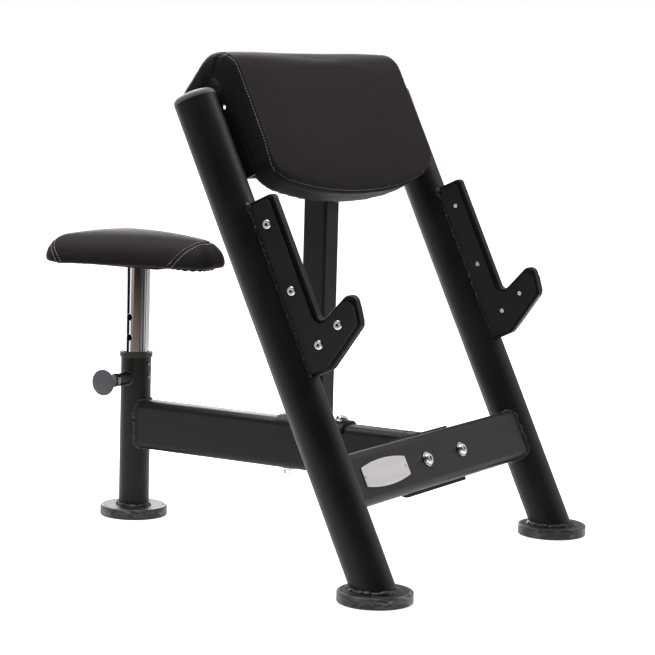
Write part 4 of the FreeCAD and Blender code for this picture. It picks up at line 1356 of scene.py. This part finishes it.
@dataclass
class Cushion:
    """Stuffed cover: swollen by pressure between its seams, then drawn in and sewn along them."""

    name: str
    voxel: float
    cap: float = 4.0 * MM
    pressure: float = 4.0
    groove: float = 2.3 * MM
    lip: float = 0.5 * MM
    stitch_pitch: float = 5.2 * MM
    stitch_length: float = 3.9 * MM
    stitch_radius: float = 0.55 * MM
    stitch_rise: float = 0.2 * MM
    seam_hold: tuple[float, float] = (3.0 * MM, 22.0 * MM)
    lip_place: float = 7.0 * MM
    lip_width: float = 3.5 * MM
    fine_pitch: float = 1.5 * MM
    lay_pitch: float = 3.0 * MM
    heading: float = 2.0 * MM
    frames: int = 20

    def swell(
        self,
        piece: bpy.types.Object,
        held: Callable[[np.ndarray], np.ndarray],
        seams: list[Seam],
        shape: Callable[[np.ndarray], np.ndarray] | None = None,
    ) -> None:
        """Remesh a cover, fill it and let it swell between its seams.

        Args:
            piece: the cover's plain shape.
            held: how firmly each point is held by what it rests on, from 0 to 1.
            seams: the sewn lines, which hold the cover too.
            shape: how the foam below moves each point before the cover is filled.
        """
        Bench.clean(piece)
        Bench.modify(piece, "REMESH", mode="VOXEL", voxel_size=self.voxel, use_smooth_shade=True)
        Bench.modify(piece, "SMOOTH", factor=0.5, iterations=3)
        if shape:
            Bench.set_points(piece, shape(Bench.points(piece)))
        start = Bench.points(piece)
        near = self.distances(start, seams)
        firm, fades = self.seam_hold
        hold = np.maximum(held(start), np.clip(1.0 - (near - firm) / fades, 0.0, 1.0))
        group = piece.vertex_groups.new(name="held")
        for index, weight in enumerate(hold):
            group.add([index], float(weight), "REPLACE")
        cloth = piece.modifiers.new("fill", "CLOTH")
        for key, value in CLOTH.items():
            setattr(cloth.settings, key, value)
        cloth.settings.vertex_group_mass = group.name
        cloth.settings.use_pressure = True
        cloth.settings.uniform_pressure_force = self.pressure
        cloth.settings.effector_weights.gravity = 0.0
        cloth.point_cache.frame_start = 1
        cloth.point_cache.frame_end = self.frames
        scene = bpy.context.scene
        for number in range(1, self.frames + 1):
            scene.frame_set(number)
        Bench.only(piece)
        bpy.ops.object.modifier_apply(modifier=cloth.name)
        scene.frame_set(1)
        moved = Bench.points(piece) - start
        far = np.linalg.norm(moved, axis=1, keepdims=True)
        moved *= np.minimum(1.0, self.cap / np.maximum(far, 1e-9))
        Bench.set_points(piece, start + moved)
        piece.vertex_groups.clear()
        log.info("%s swelled by %.1f mm at most", piece.name, min(far.max(), self.cap) / MM)

    def distances(self, points: np.ndarray, seams: list[Seam]) -> np.ndarray:
        """Distance of each point to the nearest seam.

        Args:
            points: rows of points.
            seams: the sewn lines.
        Returns:
            One distance each.
        """
        lines = [Path(seam.points, seam.closed) for seam in seams]
        marks = [spot for line in lines for spot in line.walk(self.fine_pitch)]
        tree = KDTree(len(marks))
        for index, spot in enumerate(marks):
            tree.insert(spot, index)
        tree.balance()
        return np.array([tree.find(Vector(p))[2] for p in points])

    def lay(self, piece: bpy.types.Object, seams: list[Seam]) -> None:
        """Move each seam's points onto the cover's surface.

        Args:
            piece: the cover.
            seams: the sewn lines, whose points move.
        """
        skin = Bench.surface(piece)
        for seam in seams:
            walked = Path(seam.points, seam.closed).walk(self.lay_pitch)
            seam.points = [skin.find_nearest(spot)[0] for spot in walked]

    def draw_in(self, piece: bpy.types.Object, seams: list[Seam]) -> None:
        """Refine the cover and draw it in along its seams, with a soft lip on each side.

        Args:
            piece: the cover.
            seams: the sewn lines.
        """
        Bench.modify(piece, "SUBSURF", levels=1, render_levels=1)
        for seam in seams:
            points = Bench.points(piece)
            out = Bench.normals(piece)
            near = self.distances(points, [seam])
            dip = -seam.depth * np.exp(-((near / self.groove) ** 2))
            lip = self.lip * np.exp(-(((near - self.lip_place) / self.lip_width) ** 2))
            Bench.set_points(piece, points + out * (dip + lip)[:, None])
        Bench.smooth(piece)

    def stitch_model(self) -> bpy.types.Object:
        """One stitch: a short thread whose ends dive into the cover.

        Returns:
            The stitch along X, of unit size, at the origin.
        """
        Bench.clear()
        bpy.ops.mesh.primitive_cylinder_add(
            vertices=6, radius=1.0, depth=2.0, rotation=(0, math.pi / 2, 0)
        )
        model = bpy.context.object
        Bench.settle(model)
        bpy.ops.object.mode_set(mode="EDIT")
        for place in (-0.55, 0.55):
            bpy.ops.mesh.select_all(action="SELECT")
            bpy.ops.mesh.bisect(plane_co=(place, 0, 0), plane_no=(1, 0, 0))
        bpy.ops.object.mode_set(mode="OBJECT")
        for vertex in model.data.vertices:
            if abs(vertex.co.x) > 0.9:
                vertex.co.y *= 0.5
                vertex.co.z = vertex.co.z * 0.5 - 0.9
        return model

    def stitch(
        self, piece: bpy.types.Object, seams: list[Seam], body: str, wardrobe: Wardrobe
    ) -> None:
        """Sew rows of thread beside the seams.

        Args:
            piece: the finished cover.
            seams: the sewn lines.
            body: the body that the cover rides on.
            wardrobe: where the thread comes from.
        """
        skin = Bench.surface(piece)
        places = []
        for seam in seams:
            radius = self.stitch_radius * seam.thread
            size = Matrix.Diagonal((self.stitch_length / 2, radius, radius, 1.0))
            line = Path(seam.points, seam.closed)
            count = max(2, round(line.length / self.stitch_pitch))
            for offset in seam.stitch_offsets:
                for i in range(count):
                    d = line.length * (i + 0.5) / count
                    here = line.at(d)
                    ahead = line.heading(d, self.heading)
                    out = skin.find_nearest(here)[1]
                    spot, up = skin.find_nearest(here + out.cross(ahead) * offset)[:2]
                    along = (ahead - up * ahead.dot(up)).normalized()
                    raised = Matrix.Translation(spot + up * self.stitch_rise)
                    places.append(raised @ laid(along, up) @ size)
        thread = Bench.copies(self.name + "_stitching", self.stitch_model(), places)
        wardrobe.dress(thread, Slot.VINYL, wardrobe.thread)
        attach(thread, body)
        log.info("%s: %d stitches", thread.name, len(places))


@dataclass
class ArmPad:
    """Arm pad: one long cushion folded over the top of the frame, with sewn end panels."""

    lean: LeanFrame
    cushion: Cushion = field(
        default_factory=lambda: Cushion(
            "arm_pad_cover",
            5.6 * MM,
            3.5 * MM,
            stitch_pitch=5.6 * MM,
            stitch_length=3.2 * MM,
            stitch_radius=0.7 * MM,
        )
    )
    half: float = 298.0 * MM
    panel_slant: float = 5.5 * MM
    panel_inset: float = 21.0 * MM
    back_share: float = 0.55
    face: float = 70.5 * MM
    crown: float = 5.0 * MM
    crown_power: int = 4
    back: float = 20.5 * MM
    bottom: float = 703.5 * MM
    bottom_bow: float = 46.5 * MM
    bottom_power: float = 2.35
    bottom_corner: float = 50.0 * MM
    corner_share: float = 0.85
    bottom_slope: float = 6.0 * MM
    face_roll: float = 14.0 * MM
    least_roll: float = 3.0 * MM
    back_roll: float = 8.0 * MM
    fold_top: float = 1030.5 * MM
    fold_angle: float = math.radians(60.0)
    fold_radius: float = 45.0 * MM
    inner_radius: float = 10.0 * MM
    rear_thickness: float = 31.0 * MM
    rear_length: float = 157.5 * MM
    rear_round: float = 11.0 * MM
    round_share: float = 0.45
    end_share: float = 0.5
    rear_share: float = 0.25
    board_hold: tuple[float, float] = (14.0 * MM, 10.0 * MM)
    fold_free: float = 90.0 * MM
    side_depth: float = 2.0 * MM
    bottom_depth: float = 2.6 * MM
    thread_in: float = 1.2 * MM
    bottom_thread: float = 0.4
    bottom_marks: int = 6
    arc_steps: int = 8
    fold_steps: int = 12
    shares: tuple[float, ...] = (0.0, 0.2, 0.4, 0.58, 0.72, 0.82)
    from_ends: tuple[float, ...] = (50, 42, 34, 26, 20, 14, 8, 5.5, 3, 1.2, 0)

    def fold_point(self, along: float, out: float) -> tuple[float, float]:
        """Point of the section, measured from the fold down the rear leg.

        Args:
            along: distance down the rear leg's outer face.
            out: distance out of that face.
        Returns:
            (s, m) of the point.
        """
        turn = self.fold_angle
        s = self.fold_top - along * math.cos(turn) + out * math.sin(turn)
        m = self.face - along * math.sin(turn) - out * math.cos(turn)
        return s, m

    def low(self, x: float) -> float:
        """Lowest s of the pad at one x.

        Args:
            x: place across the bench.
        Returns:
            The s of its lower edge there.
        """
        share = min(abs(x) / self.half, 1.0)
        from_end = max(self.half - abs(x), 0.0)
        into = self.corner_share * max(1.0 - from_end / self.bottom_corner, 0.0)
        lift = self.bottom_corner * (1.0 - math.sqrt(1.0 - into ** 2))
        return self.bottom + self.bottom_bow * share ** self.bottom_power + lift

    def section(self, x: float) -> list[tuple[float, float]]:
        """Outline of the pad at one x.

        Args:
            x: place across the bench.
        Returns:
            The outline's (s, m) points.
        """
        turn = self.fold_angle
        from_end = self.half - abs(x)
        inset = self.panel_inset * max(1.0 - from_end / self.panel_slant, 0.0)
        crown = self.crown * (1.0 - (x / self.half) ** self.crown_power)
        low = self.low(x)
        face = self.face + crown - inset
        back = self.back + inset * self.back_share
        slip = (inset * (1 + math.cos(turn)) - crown) / math.sin(turn)
        end = self.rear_length - inset * self.end_share
        rear = self.rear_thickness - inset * self.rear_share
        inner = self.fold_point(0, -rear)
        along = (inner[1] - back) / math.sin(turn)
        fold_s = inner[0] - along * math.cos(turn)
        round_end = min(self.rear_round, (rear - inset) * self.round_share)
        face_roll = max(self.face_roll - inset * self.end_share, self.least_roll)
        corners = [
            (low + self.bottom_slope, face, face_roll),
            (low, back, self.back_roll),
            (fold_s, back, self.inner_radius),
            (*self.fold_point(end, -rear), round_end),
            (*self.fold_point(end, -inset), round_end),
            (*self.fold_point(slip, -inset), self.fold_radius - inset),
        ]
        return rounded(corners, self.arc_steps)

    def stations(self) -> list[float]:
        """Places across the bench where the section is drawn, closest round the ends.

        Returns:
            The x of each section, from side to side.
        """
        half = [share * self.half for share in self.shares]
        half += [self.half - t * MM for t in self.from_ends]
        return [-x for x in reversed(half[1:])] + half

    def shell(self) -> bpy.types.Object:
        """Plain closed shape of the pad.

        Returns:
            The cover's piece, before it is filled.
        """
        rows = [[self.lean.point(x, s, m) for s, m in self.section(x)] for x in self.stations()]
        around = len(rows[0])
        faces = Bench.tube_faces(len(rows), around)
        last = (len(rows) - 1) * around
        faces.append(tuple(reversed(range(around))))
        faces.append(tuple(range(last, last + around)))
        return Bench.from_faces(self.cushion.name, [p for row in rows for p in row], faces)

    def fold_marks(self, edge: float) -> list[tuple[float, float, float]]:
        """Sewn marks over the fold and down the rear leg.

        Args:
            edge: the seam's distance from the pad's middle.
        Returns:
            (x, s, m) of each mark, from the rear leg's end to the face, s and m in millimetres.
        """
        reach = self.fold_radius / math.tan(self.fold_angle / 2)
        centre_s, centre_m = self.fold_top - reach, self.face - self.fold_radius
        marks = []
        for i in range(self.fold_steps + 1):
            turn = (math.pi - self.fold_angle) * i / self.fold_steps
            s = centre_s + self.fold_radius * math.sin(turn)
            m = centre_m + self.fold_radius * math.cos(turn)
            marks.append((edge, s / MM, m / MM))
        for along in (90, 115, 140):
            marks.append((edge, *(v / MM for v in self.fold_point(along * MM, 0.0))))
        return marks[::-1]

    def seams(self) -> list[Seam]:
        """Seam round the face panel, and the mitre in each end panel.

        Returns:
            The left side, the bottom, the right side and the two mitres.
        """
        edge = self.half - self.panel_slant
        side = [
            (edge, 946, 71.0), (edge, 913, 71.2), (edge, 861, 71.2), (edge, 815, 69.0),
            (edge, 790, 66.0), (edge - 1 * MM, 771, 64.0), (edge - 7 * MM, 756, 64.0),
            (edge - 20 * MM, 746, 64.5), (250 * MM, 738.5, 65.0), (199 * MM, 725.5, 66.0),
            (137 * MM, 714.5, 67.0), (60 * MM, 708.0, 67.5),
        ]
        middle = self.lean.point(0.0, 706.5 * MM, 67.5 * MM)
        mitre = [(1003.0, 62.0), (992.0, 48.3), (979.0, 34.5), (964.0, 23.5)]
        marks = self.fold_marks(edge) + side
        half = [self.lean.point(-x, s * MM, m * MM) for x, s, m in marks]
        mirror = [Vector((-p.x, p.y, p.z)) for p in reversed(half)]
        corner = len(half) - self.bottom_marks
        bottom = half[corner:] + [middle] + mirror[: self.bottom_marks]
        threads = (self.thread_in,)
        seams = [
            Seam(half[: corner + 1], depth=self.side_depth, stitch_offsets=threads),
            Seam(bottom, False, self.bottom_depth, threads, self.bottom_thread),
            Seam(mirror[self.bottom_marks - 1 :], depth=self.side_depth, stitch_offsets=threads),
        ]
        for sign in (-1, 1):
            x = sign * (self.half - 1 * MM)
            line = [self.lean.point(x, s * MM, m * MM) for s, m in mitre]
            seams.append(Seam(line, depth=self.bottom_depth))
        return seams

    def held(self, points: np.ndarray) -> np.ndarray:
        """How firmly the front board holds each point of the pad.

        Args:
            points: rows of points.
        Returns:
            One hold each, from 0 to 1.
        """
        base = points - np.array(self.lean.point(0, 0, 0))
        m = base @ np.array(self.lean.direction(0, 0, 1))
        s = base @ np.array(self.lean.direction(0, 1, 0))
        reach, fades = self.board_hold
        front = np.clip((self.back + reach - m) / fades, 0, 1)
        return np.where(s < self.fold_top - self.fold_free, front, 0)

    def build(self, wardrobe: Wardrobe) -> None:
        """Make the cushion and sew it.

        Args:
            wardrobe: where the vinyl and thread come from.
        """
        piece = self.shell()
        seams = self.seams()
        self.cushion.swell(piece, self.held, seams)
        self.cushion.lay(piece, seams)
        self.cushion.draw_in(piece, seams)
        wardrobe.dress(piece, Slot.VINYL)
        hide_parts("arm_pad")
        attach(piece, "frame")
        self.cushion.stitch(piece, seams, "frame", wardrobe)
        log.info("%s: %d faces", piece.name, len(piece.data.polygons))


@dataclass
class Seat:
    """Seat cushion: a centre panel from side to side, with a nose and a tail panel sewn on."""

    cushion: Cushion = field(
        default_factory=lambda: Cushion(
            "seat_cover",
            4.2 * MM,
            2.5 * MM,
            lip=0.3 * MM,
            stitch_radius=0.42 * MM,
            stitch_rise=0.05 * MM,
        )
    )
    post_y: float = 331.5 * MM
    bottom: float = 501.5 * MM
    dome: tuple[float, float] = (9.0 * MM, 2.6 * MM)
    dome_half: tuple[float, float] = (122.0 * MM, 175.0 * MM)
    dome_shift: float = -3.0 * MM
    dome_rise: tuple[float, float] = (525.0 * MM, 552.0 * MM)
    hem_pitch: float = 2.4 * MM
    hem_width: float = 24.0 * MM
    hem_pleat: float = 13.0 * MM
    pleat_wander: tuple[float, float] = (0.75, 1.3)
    wave_run: int = 4
    hem_hang: tuple[float, float] = (2.4, 3.4)
    hem_tuck: float = 1.6
    nose_slack: tuple[float, float, float] = (-95.0 * MM, -45.0 * MM, 0.90)
    tail_slack: tuple[float, float, float] = (92.0 * MM, 30.0 * MM, 0.45)
    least_slack: float = 0.10
    rim_steps: int = 240
    rim_rise: float = 4.0 * MM
    board_hold: tuple[float, float] = (12.0 * MM, 8.0 * MM)
    seam_depth: float = 1.1 * MM
    twin: float = 4.2 * MM
    seed: int = 11

    def domed(self, points: np.ndarray) -> np.ndarray:
        """Lift the middle of the top and ease its rim.

        Args:
            points: the cover's points.
        Returns:
            The points in their new places.
        """
        x = points[:, 0] / self.dome_half[0]
        y = (points[:, 1] - self.post_y - self.dome_shift) / self.dome_half[1]
        swell = np.clip(1 - x ** 2, -1, 1) * np.clip(1 - y ** 2, -1, 1)
        low, high = self.dome_rise
        part = np.clip((points[:, 2] - low) / (high - low), 0, 1)
        part = part * part * (3 - 2 * part)
        moved = points.copy()
        moved[:, 2] += (self.dome[0] * swell - self.dome[1]) * part
        return moved

    def rim(self, piece: bpy.types.Object) -> Path:
        """Line round the cover's lower edge, seen from inside it.

        Args:
            piece: the finished cover.
        Returns:
            The closed line, in the plane of the board.
        """
        skin = Bench.surface(piece)
        middle = Vector((0, self.post_y, self.bottom + self.rim_rise))
        spots = []
        for step in range(self.rim_steps):
            turn = 2 * math.pi * step / self.rim_steps
            spots.append(skin.ray_cast(middle, Vector((math.cos(turn), math.sin(turn), 0)))[0])
        return Path([Vector((p.x, p.y, self.bottom)) for p in spots], closed=True)

    def gather(self, y: float) -> float:
        """How much slack the hem has at one y: most round the nose, some round the tail.

        Args:
            y: the place along the seat.
        Returns:
            The slack, from 0 to 1.
        """
        slack = self.least_slack
        for start, run, share in (self.nose_slack, self.tail_slack):
            slack += share * float(np.clip((y - self.post_y - start) / run, 0, 1))
        return slack

    def hem(self, piece: bpy.types.Object, wardrobe: Wardrobe) -> None:
        """Turn the cover's edge in under the board, pleated round its curves.

        Args:
            piece: the finished cover.
            wardrobe: where its vinyl comes from.
        """
        dice = random.Random(self.seed)
        line = self.rim(piece)
        count = round(line.length / self.hem_pitch)
        waves = [dice.uniform(*self.pleat_wander) for _ in range(count)]
        phase, rows = 0.0, []
        middle = Vector((0, self.post_y, self.bottom))
        for i in range(count):
            here = line.at(line.length * i / count)
            inward = (middle - here).normalized()
            phase += 2 * math.pi * self.hem_pitch / self.hem_pleat * waves[i // self.wave_run]
            slack = self.gather(here.y)
            pleat = 0.5 + 0.5 * math.sin(phase)
            hang = (1.0 + slack * (self.hem_hang[0] + self.hem_hang[1] * pleat)) * MM
            tuck = (1.0 + self.hem_tuck * slack * pleat) * MM
            profile = (
                (2.0 * MM, -2.5 * MM),
                (tuck, hang * 0.35),
                (tuck + 3.5 * MM, hang),
                (self.hem_width * 0.5, hang * 0.75),
                (self.hem_width, 0.9 * MM),
                (self.hem_width + 1.0 * MM, -1.0 * MM),
            )
            rows.append([here + inward * reach - Vector((0, 0, fall)) for reach, fall in profile])
        faces = Bench.tube_faces(count, len(rows[0]), closed=True)
        hem = Bench.from_faces("seat_hem", [p for row in rows for p in row], faces)
        Bench.clean(hem)
        Bench.modify(hem, "SUBSURF", levels=1, render_levels=1)
        Bench.smooth(hem)
        wardrobe.dress(hem, Slot.VINYL)
        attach(hem, "seat")
        log.info("seat_hem: %d pleats and folds along %.2f m", count, line.length)

    def seams(self) -> list[Seam]:
        """Twin seams of the nose panel and of the tail panel.

        Returns:
            The seam of the nose and that of the tail.
        """
        nose = [
            (60, -114, 503), (58.5, -122, 512), (55.5, -129, 521), (45.4, -140, 535),
            (33, -151, 545), (17, -159, 550),
        ]
        tail = [
            (121, 100, 503), (123, 105, 512), (122, 112, 521), (113, 122, 534), (96, 130, 543),
            (60, 134, 547), (30, 135, 548),
        ]
        seams = []
        for side, middle in ((nose, (0, -162, 551)), (tail, (0, 135, 548.5))):
            marks = [(-x, y, z) for x, y, z in side] + [middle] + side[::-1]
            points = [Vector((x * MM, self.post_y + y * MM, z * MM)) for x, y, z in marks]
            seams.append(Seam(points, False, self.seam_depth, (-self.twin, self.twin)))
        return seams

    def held(self, points: np.ndarray) -> np.ndarray:
        """How firmly the board holds each point of the cushion."""
        reach, fades = self.board_hold
        return np.clip((self.bottom + reach - points[:, 2]) / fades, 0.0, 1.0)

    def build(self, wardrobe: Wardrobe) -> None:
        """Make the cushion and sew it.

        Args:
            wardrobe: where the vinyl and thread come from.
        """
        piece = frame["nodes"]["seat_pad"].copy()
        piece.data = piece.data.copy()
        piece.name = self.cushion.name
        for key in list(piece.keys()):
            del piece[key]
        piece.parent = None
        bpy.context.scene.collection.objects.link(piece)
        seams = self.seams()
        self.cushion.swell(piece, self.held, seams, self.domed)
        self.cushion.lay(piece, seams)
        self.cushion.draw_in(piece, seams)
        self.hem(piece, wardrobe)
        wardrobe.dress(piece, Slot.VINYL)
        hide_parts("seat_pad")
        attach(piece, "seat")
        self.cushion.stitch(piece, seams, "seat", wardrobe)
        log.info("%s: %d faces", piece.name, len(piece.data.polygons))


# ------------------------------------------------------------------ studio


@dataclass
class Lamp:
    """Soft square lamp."""

    name: str
    place: tuple[float, float, float]
    target: tuple[float, float, float]
    side: float
    watts: float
    seen: bool = True
    tint: Colour = (1.0, 1.0, 1.0)

    def build(self) -> None:
        """Hang the lamp."""
        data = bpy.data.lights.new(self.name, "AREA")
        data.shape = "SQUARE"
        data.size = self.side
        data.energy = self.watts
        data.color = self.tint
        lamp = bpy.data.objects.new(self.name, data)
        aim = Vector(self.target) - Vector(self.place)
        lamp.rotation_euler = aim.to_track_quat("-Z", "Y").to_euler()
        lamp.location = self.place
        lamp.visible_camera = self.seen
        bpy.context.scene.collection.objects.link(lamp)


@dataclass(frozen=True)
class MirrorCard:
    """Curved card round the bench: from one turn to another off the camera's side, in degrees."""

    start: float
    end: float
    low: Colour
    high: Colour
    top: float = 2.4
    radius: float = 2.0
    fade: tuple[float, float] = (0.05, 0.28)
    streaks: float = 0.35
    facets: int = 180


@dataclass
class Studio:
    """White room: pale floor, soft lamps, cards that polished metal mirrors, and the camera."""

    floor_half: float = 30.0
    glow_span: tuple[float, float] = (0.75, 1.5)
    glow: tuple[float, float] = (0.58, 1.0)
    paper: float = 0.9
    room_light: float = 0.42
    lamps: tuple[Lamp, ...] = (
        Lamp("key", (3.6, -2.6, 2.2), (0.0, 0.0, 0.45), 3.4, 142.0, tint=(1.0, 0.91, 0.885)),
        Lamp("top", (-0.3, 0.4, 2.3), (-0.1, 0.2, 0.6), 1.4, 40.0, False),
        Lamp("back", (2.6, 1.9, 1.25), (0.0, 0.2, 0.5), 2.4, 72.0, False),
        Lamp("seat", (-0.1, 0.48, 1.3), (0.0, 0.33, 0.56), 0.6, 9.5, False),
    )
    cards: dict[str, MirrorCard] = field(default_factory=lambda: {
        "edge_card": MirrorCard(-104.0, -70.0, (0.006, 0.006, 0.008), (0.006, 0.006, 0.008), 2.6),
        "pale_card": MirrorCard(-57.0, -29.0, (0.24, 0.22, 0.20), (0.40, 0.38, 0.36), 2.8),
        "room_card": MirrorCard(-29.0, 34.0, (0.26, 0.205, 0.175), (0.034, 0.018, 0.011), 3.0),
        "dark_card": MirrorCard(
            34.0, 70.0, (0.24, 0.235, 0.235), (0.060, 0.056, 0.056), streaks=0.75
        ),
        "grey_card": MirrorCard(
            70.0, 165.0, (0.80, 0.80, 0.80), (0.46, 0.46, 0.46), 1.6, streaks=0.25
        ),
    })
    card_centre_y: float = 0.33
    camera_place: tuple[float, float, float] = (-3.720917, -2.306603, 0.936855)
    yaw: float = math.radians(59.38195)
    pitch: float = math.radians(6.94592)
    roll: float = math.radians(1.55420)
    focal_pixels: float = 2328.027
    frame_pixels: float = 655.0
    sensor: float = 36.0

    def camera(self) -> None:
        """Stand the camera where the picture was taken from."""
        data = bpy.data.cameras.new("camera")
        data.sensor_fit = "HORIZONTAL"
        data.sensor_width = self.sensor
        data.lens = self.focal_pixels / self.frame_pixels * self.sensor
        data.clip_end = 100.0
        ahead = Vector((
            math.sin(self.yaw) * math.cos(self.pitch),
            math.cos(self.yaw) * math.cos(self.pitch),
            -math.sin(self.pitch),
        ))
        level = Vector((math.cos(self.yaw), -math.sin(self.yaw), 0.0))
        upright = level.cross(ahead)
        right = math.cos(self.roll) * level + math.sin(self.roll) * upright
        up = -math.sin(self.roll) * level + math.cos(self.roll) * upright
        camera = bpy.data.objects.new("camera", data)
        turn = Matrix((right, up, -ahead)).transposed().to_4x4()
        camera.matrix_world = Matrix.Translation(self.camera_place) @ turn
        bpy.context.scene.collection.objects.link(camera)
        bpy.context.scene.camera = camera

    def floor(self) -> None:
        """Lay a floor that the camera sees as white, with the bench's shadow on it."""
        Bench.clear()
        bpy.ops.mesh.primitive_plane_add(size=2 * self.floor_half, location=(0, 0, 0))
        floor = bpy.context.object
        floor.name = "floor"
        material = bpy.data.materials.new("floor_paper")
        canvas = Canvas.blank(material)
        paper = canvas.add("ShaderNodeBsdfDiffuse", {"Color": (*[self.paper] * 3, 1.0)})
        place = canvas.add("ShaderNodeTexCoord").outputs["Object"]
        away = canvas.add("ShaderNodeVectorMath", {0: place}, operation="LENGTH").outputs["Value"]
        level = canvas.spread(away, *self.glow_span, *self.glow)
        glow = canvas.add("ShaderNodeEmission", {"Color": WHITE, "Strength": level})
        both = canvas.add("ShaderNodeAddShader", {0: paper.outputs[0], 1: glow.outputs[0]})
        mix = canvas.add(
            "ShaderNodeMixShader", {0: canvas.shown(), 1: paper.outputs[0], 2: both.outputs[0]}
        )
        canvas.add("ShaderNodeOutputMaterial", {"Surface": mix.outputs[0]})
        floor.data.materials.append(material)

    def card(self, name: str, card: MirrorCard) -> None:
        """Stand a curved card that only mirrors see.

        Args:
            name: its name.
            card: its span, height and colours.
        """
        Bench.clear()
        bpy.ops.mesh.primitive_cylinder_add(
            vertices=card.facets,
            radius=card.radius,
            depth=card.top,
            end_fill_type="NOTHING",
            location=(0.0, self.card_centre_y, card.top / 2),
        )
        piece = bpy.context.object
        piece.name = name
        Bench.settle(piece)
        eye = Vector(self.camera_place)
        facing = math.atan2(eye.y - self.card_centre_y, eye.x)
        bpy.ops.object.mode_set(mode="EDIT")
        bpy.ops.mesh.select_all(action="DESELECT")
        bpy.ops.object.mode_set(mode="OBJECT")
        for face in piece.data.polygons:
            turn = math.atan2(face.center.y - self.card_centre_y, face.center.x) - facing
            turn = (turn + math.pi) % (2 * math.pi) - math.pi
            face.select = not math.radians(card.start) < turn < math.radians(card.end)
        bpy.ops.object.mode_set(mode="EDIT")
        bpy.ops.mesh.delete(type="FACE")
        bpy.ops.object.mode_set(mode="OBJECT")
        material = bpy.data.materials.new(name)
        canvas = Canvas.blank(material)
        place = canvas.add("ShaderNodeTexCoord").outputs["Object"]
        rise = canvas.add("ShaderNodeSeparateXYZ", {0: place}).outputs["Z"]
        tone = canvas.tint(canvas.spread(rise, *card.fade), card.low, card.high)
        bars = canvas.noise(canvas.stretch(place, (1.0, 1.0, 0.02)), 5.0, 3.0)
        level = canvas.spread(bars, 0.35, 0.65, 1.0 - card.streaks, 1.0 + card.streaks)
        glow = canvas.add("ShaderNodeEmission", {"Color": tone, "Strength": level})
        canvas.add("ShaderNodeOutputMaterial", {"Surface": glow.outputs[0]})
        piece.data.materials.append(material)
        piece.visible_camera = False
        piece.visible_diffuse = False
        piece.visible_shadow = False

    def world(self) -> None:
        """Fill the room with soft light, white to the camera and to mirrors."""
        world = bpy.data.worlds.new("room")
        canvas = Canvas.blank(world)
        soft = canvas.add("ShaderNodeBackground", {"Color": WHITE, "Strength": self.room_light})
        white = canvas.add("ShaderNodeBackground", {"Color": WHITE, "Strength": 1.0})
        mix = canvas.add(
            "ShaderNodeMixShader", {0: canvas.shown(), 1: soft.outputs[0], 2: white.outputs[0]}
        )
        canvas.add("ShaderNodeOutputWorld", {"Surface": mix.outputs[0]})
        bpy.context.scene.world = world

    def build(self) -> None:
        """Set the whole studio."""
        bpy.context.scene.view_settings.view_transform = "Standard"
        self.camera()
        self.floor()
        for name, card in self.cards.items():
            self.card(name, card)
        self.world()
        for lamp in self.lamps:
            lamp.build()
        log.info("studio set with %d lamps", len(self.lamps))


def main() -> None:
    """Build the studio, dress the solids and add the made pieces."""
    logging.basicConfig(level=logging.INFO, format="%(name)s: %(message)s")
    lean = LeanFrame()
    Studio().build()
    wardrobe = Wardrobe()
    wardrobe.dress_solids()
    WeldBeads(lean).build(wardrobe)
    ArmPad(lean).build(wardrobe)
    Seat().build(wardrobe)


if __name__ == "__main__":
    main()
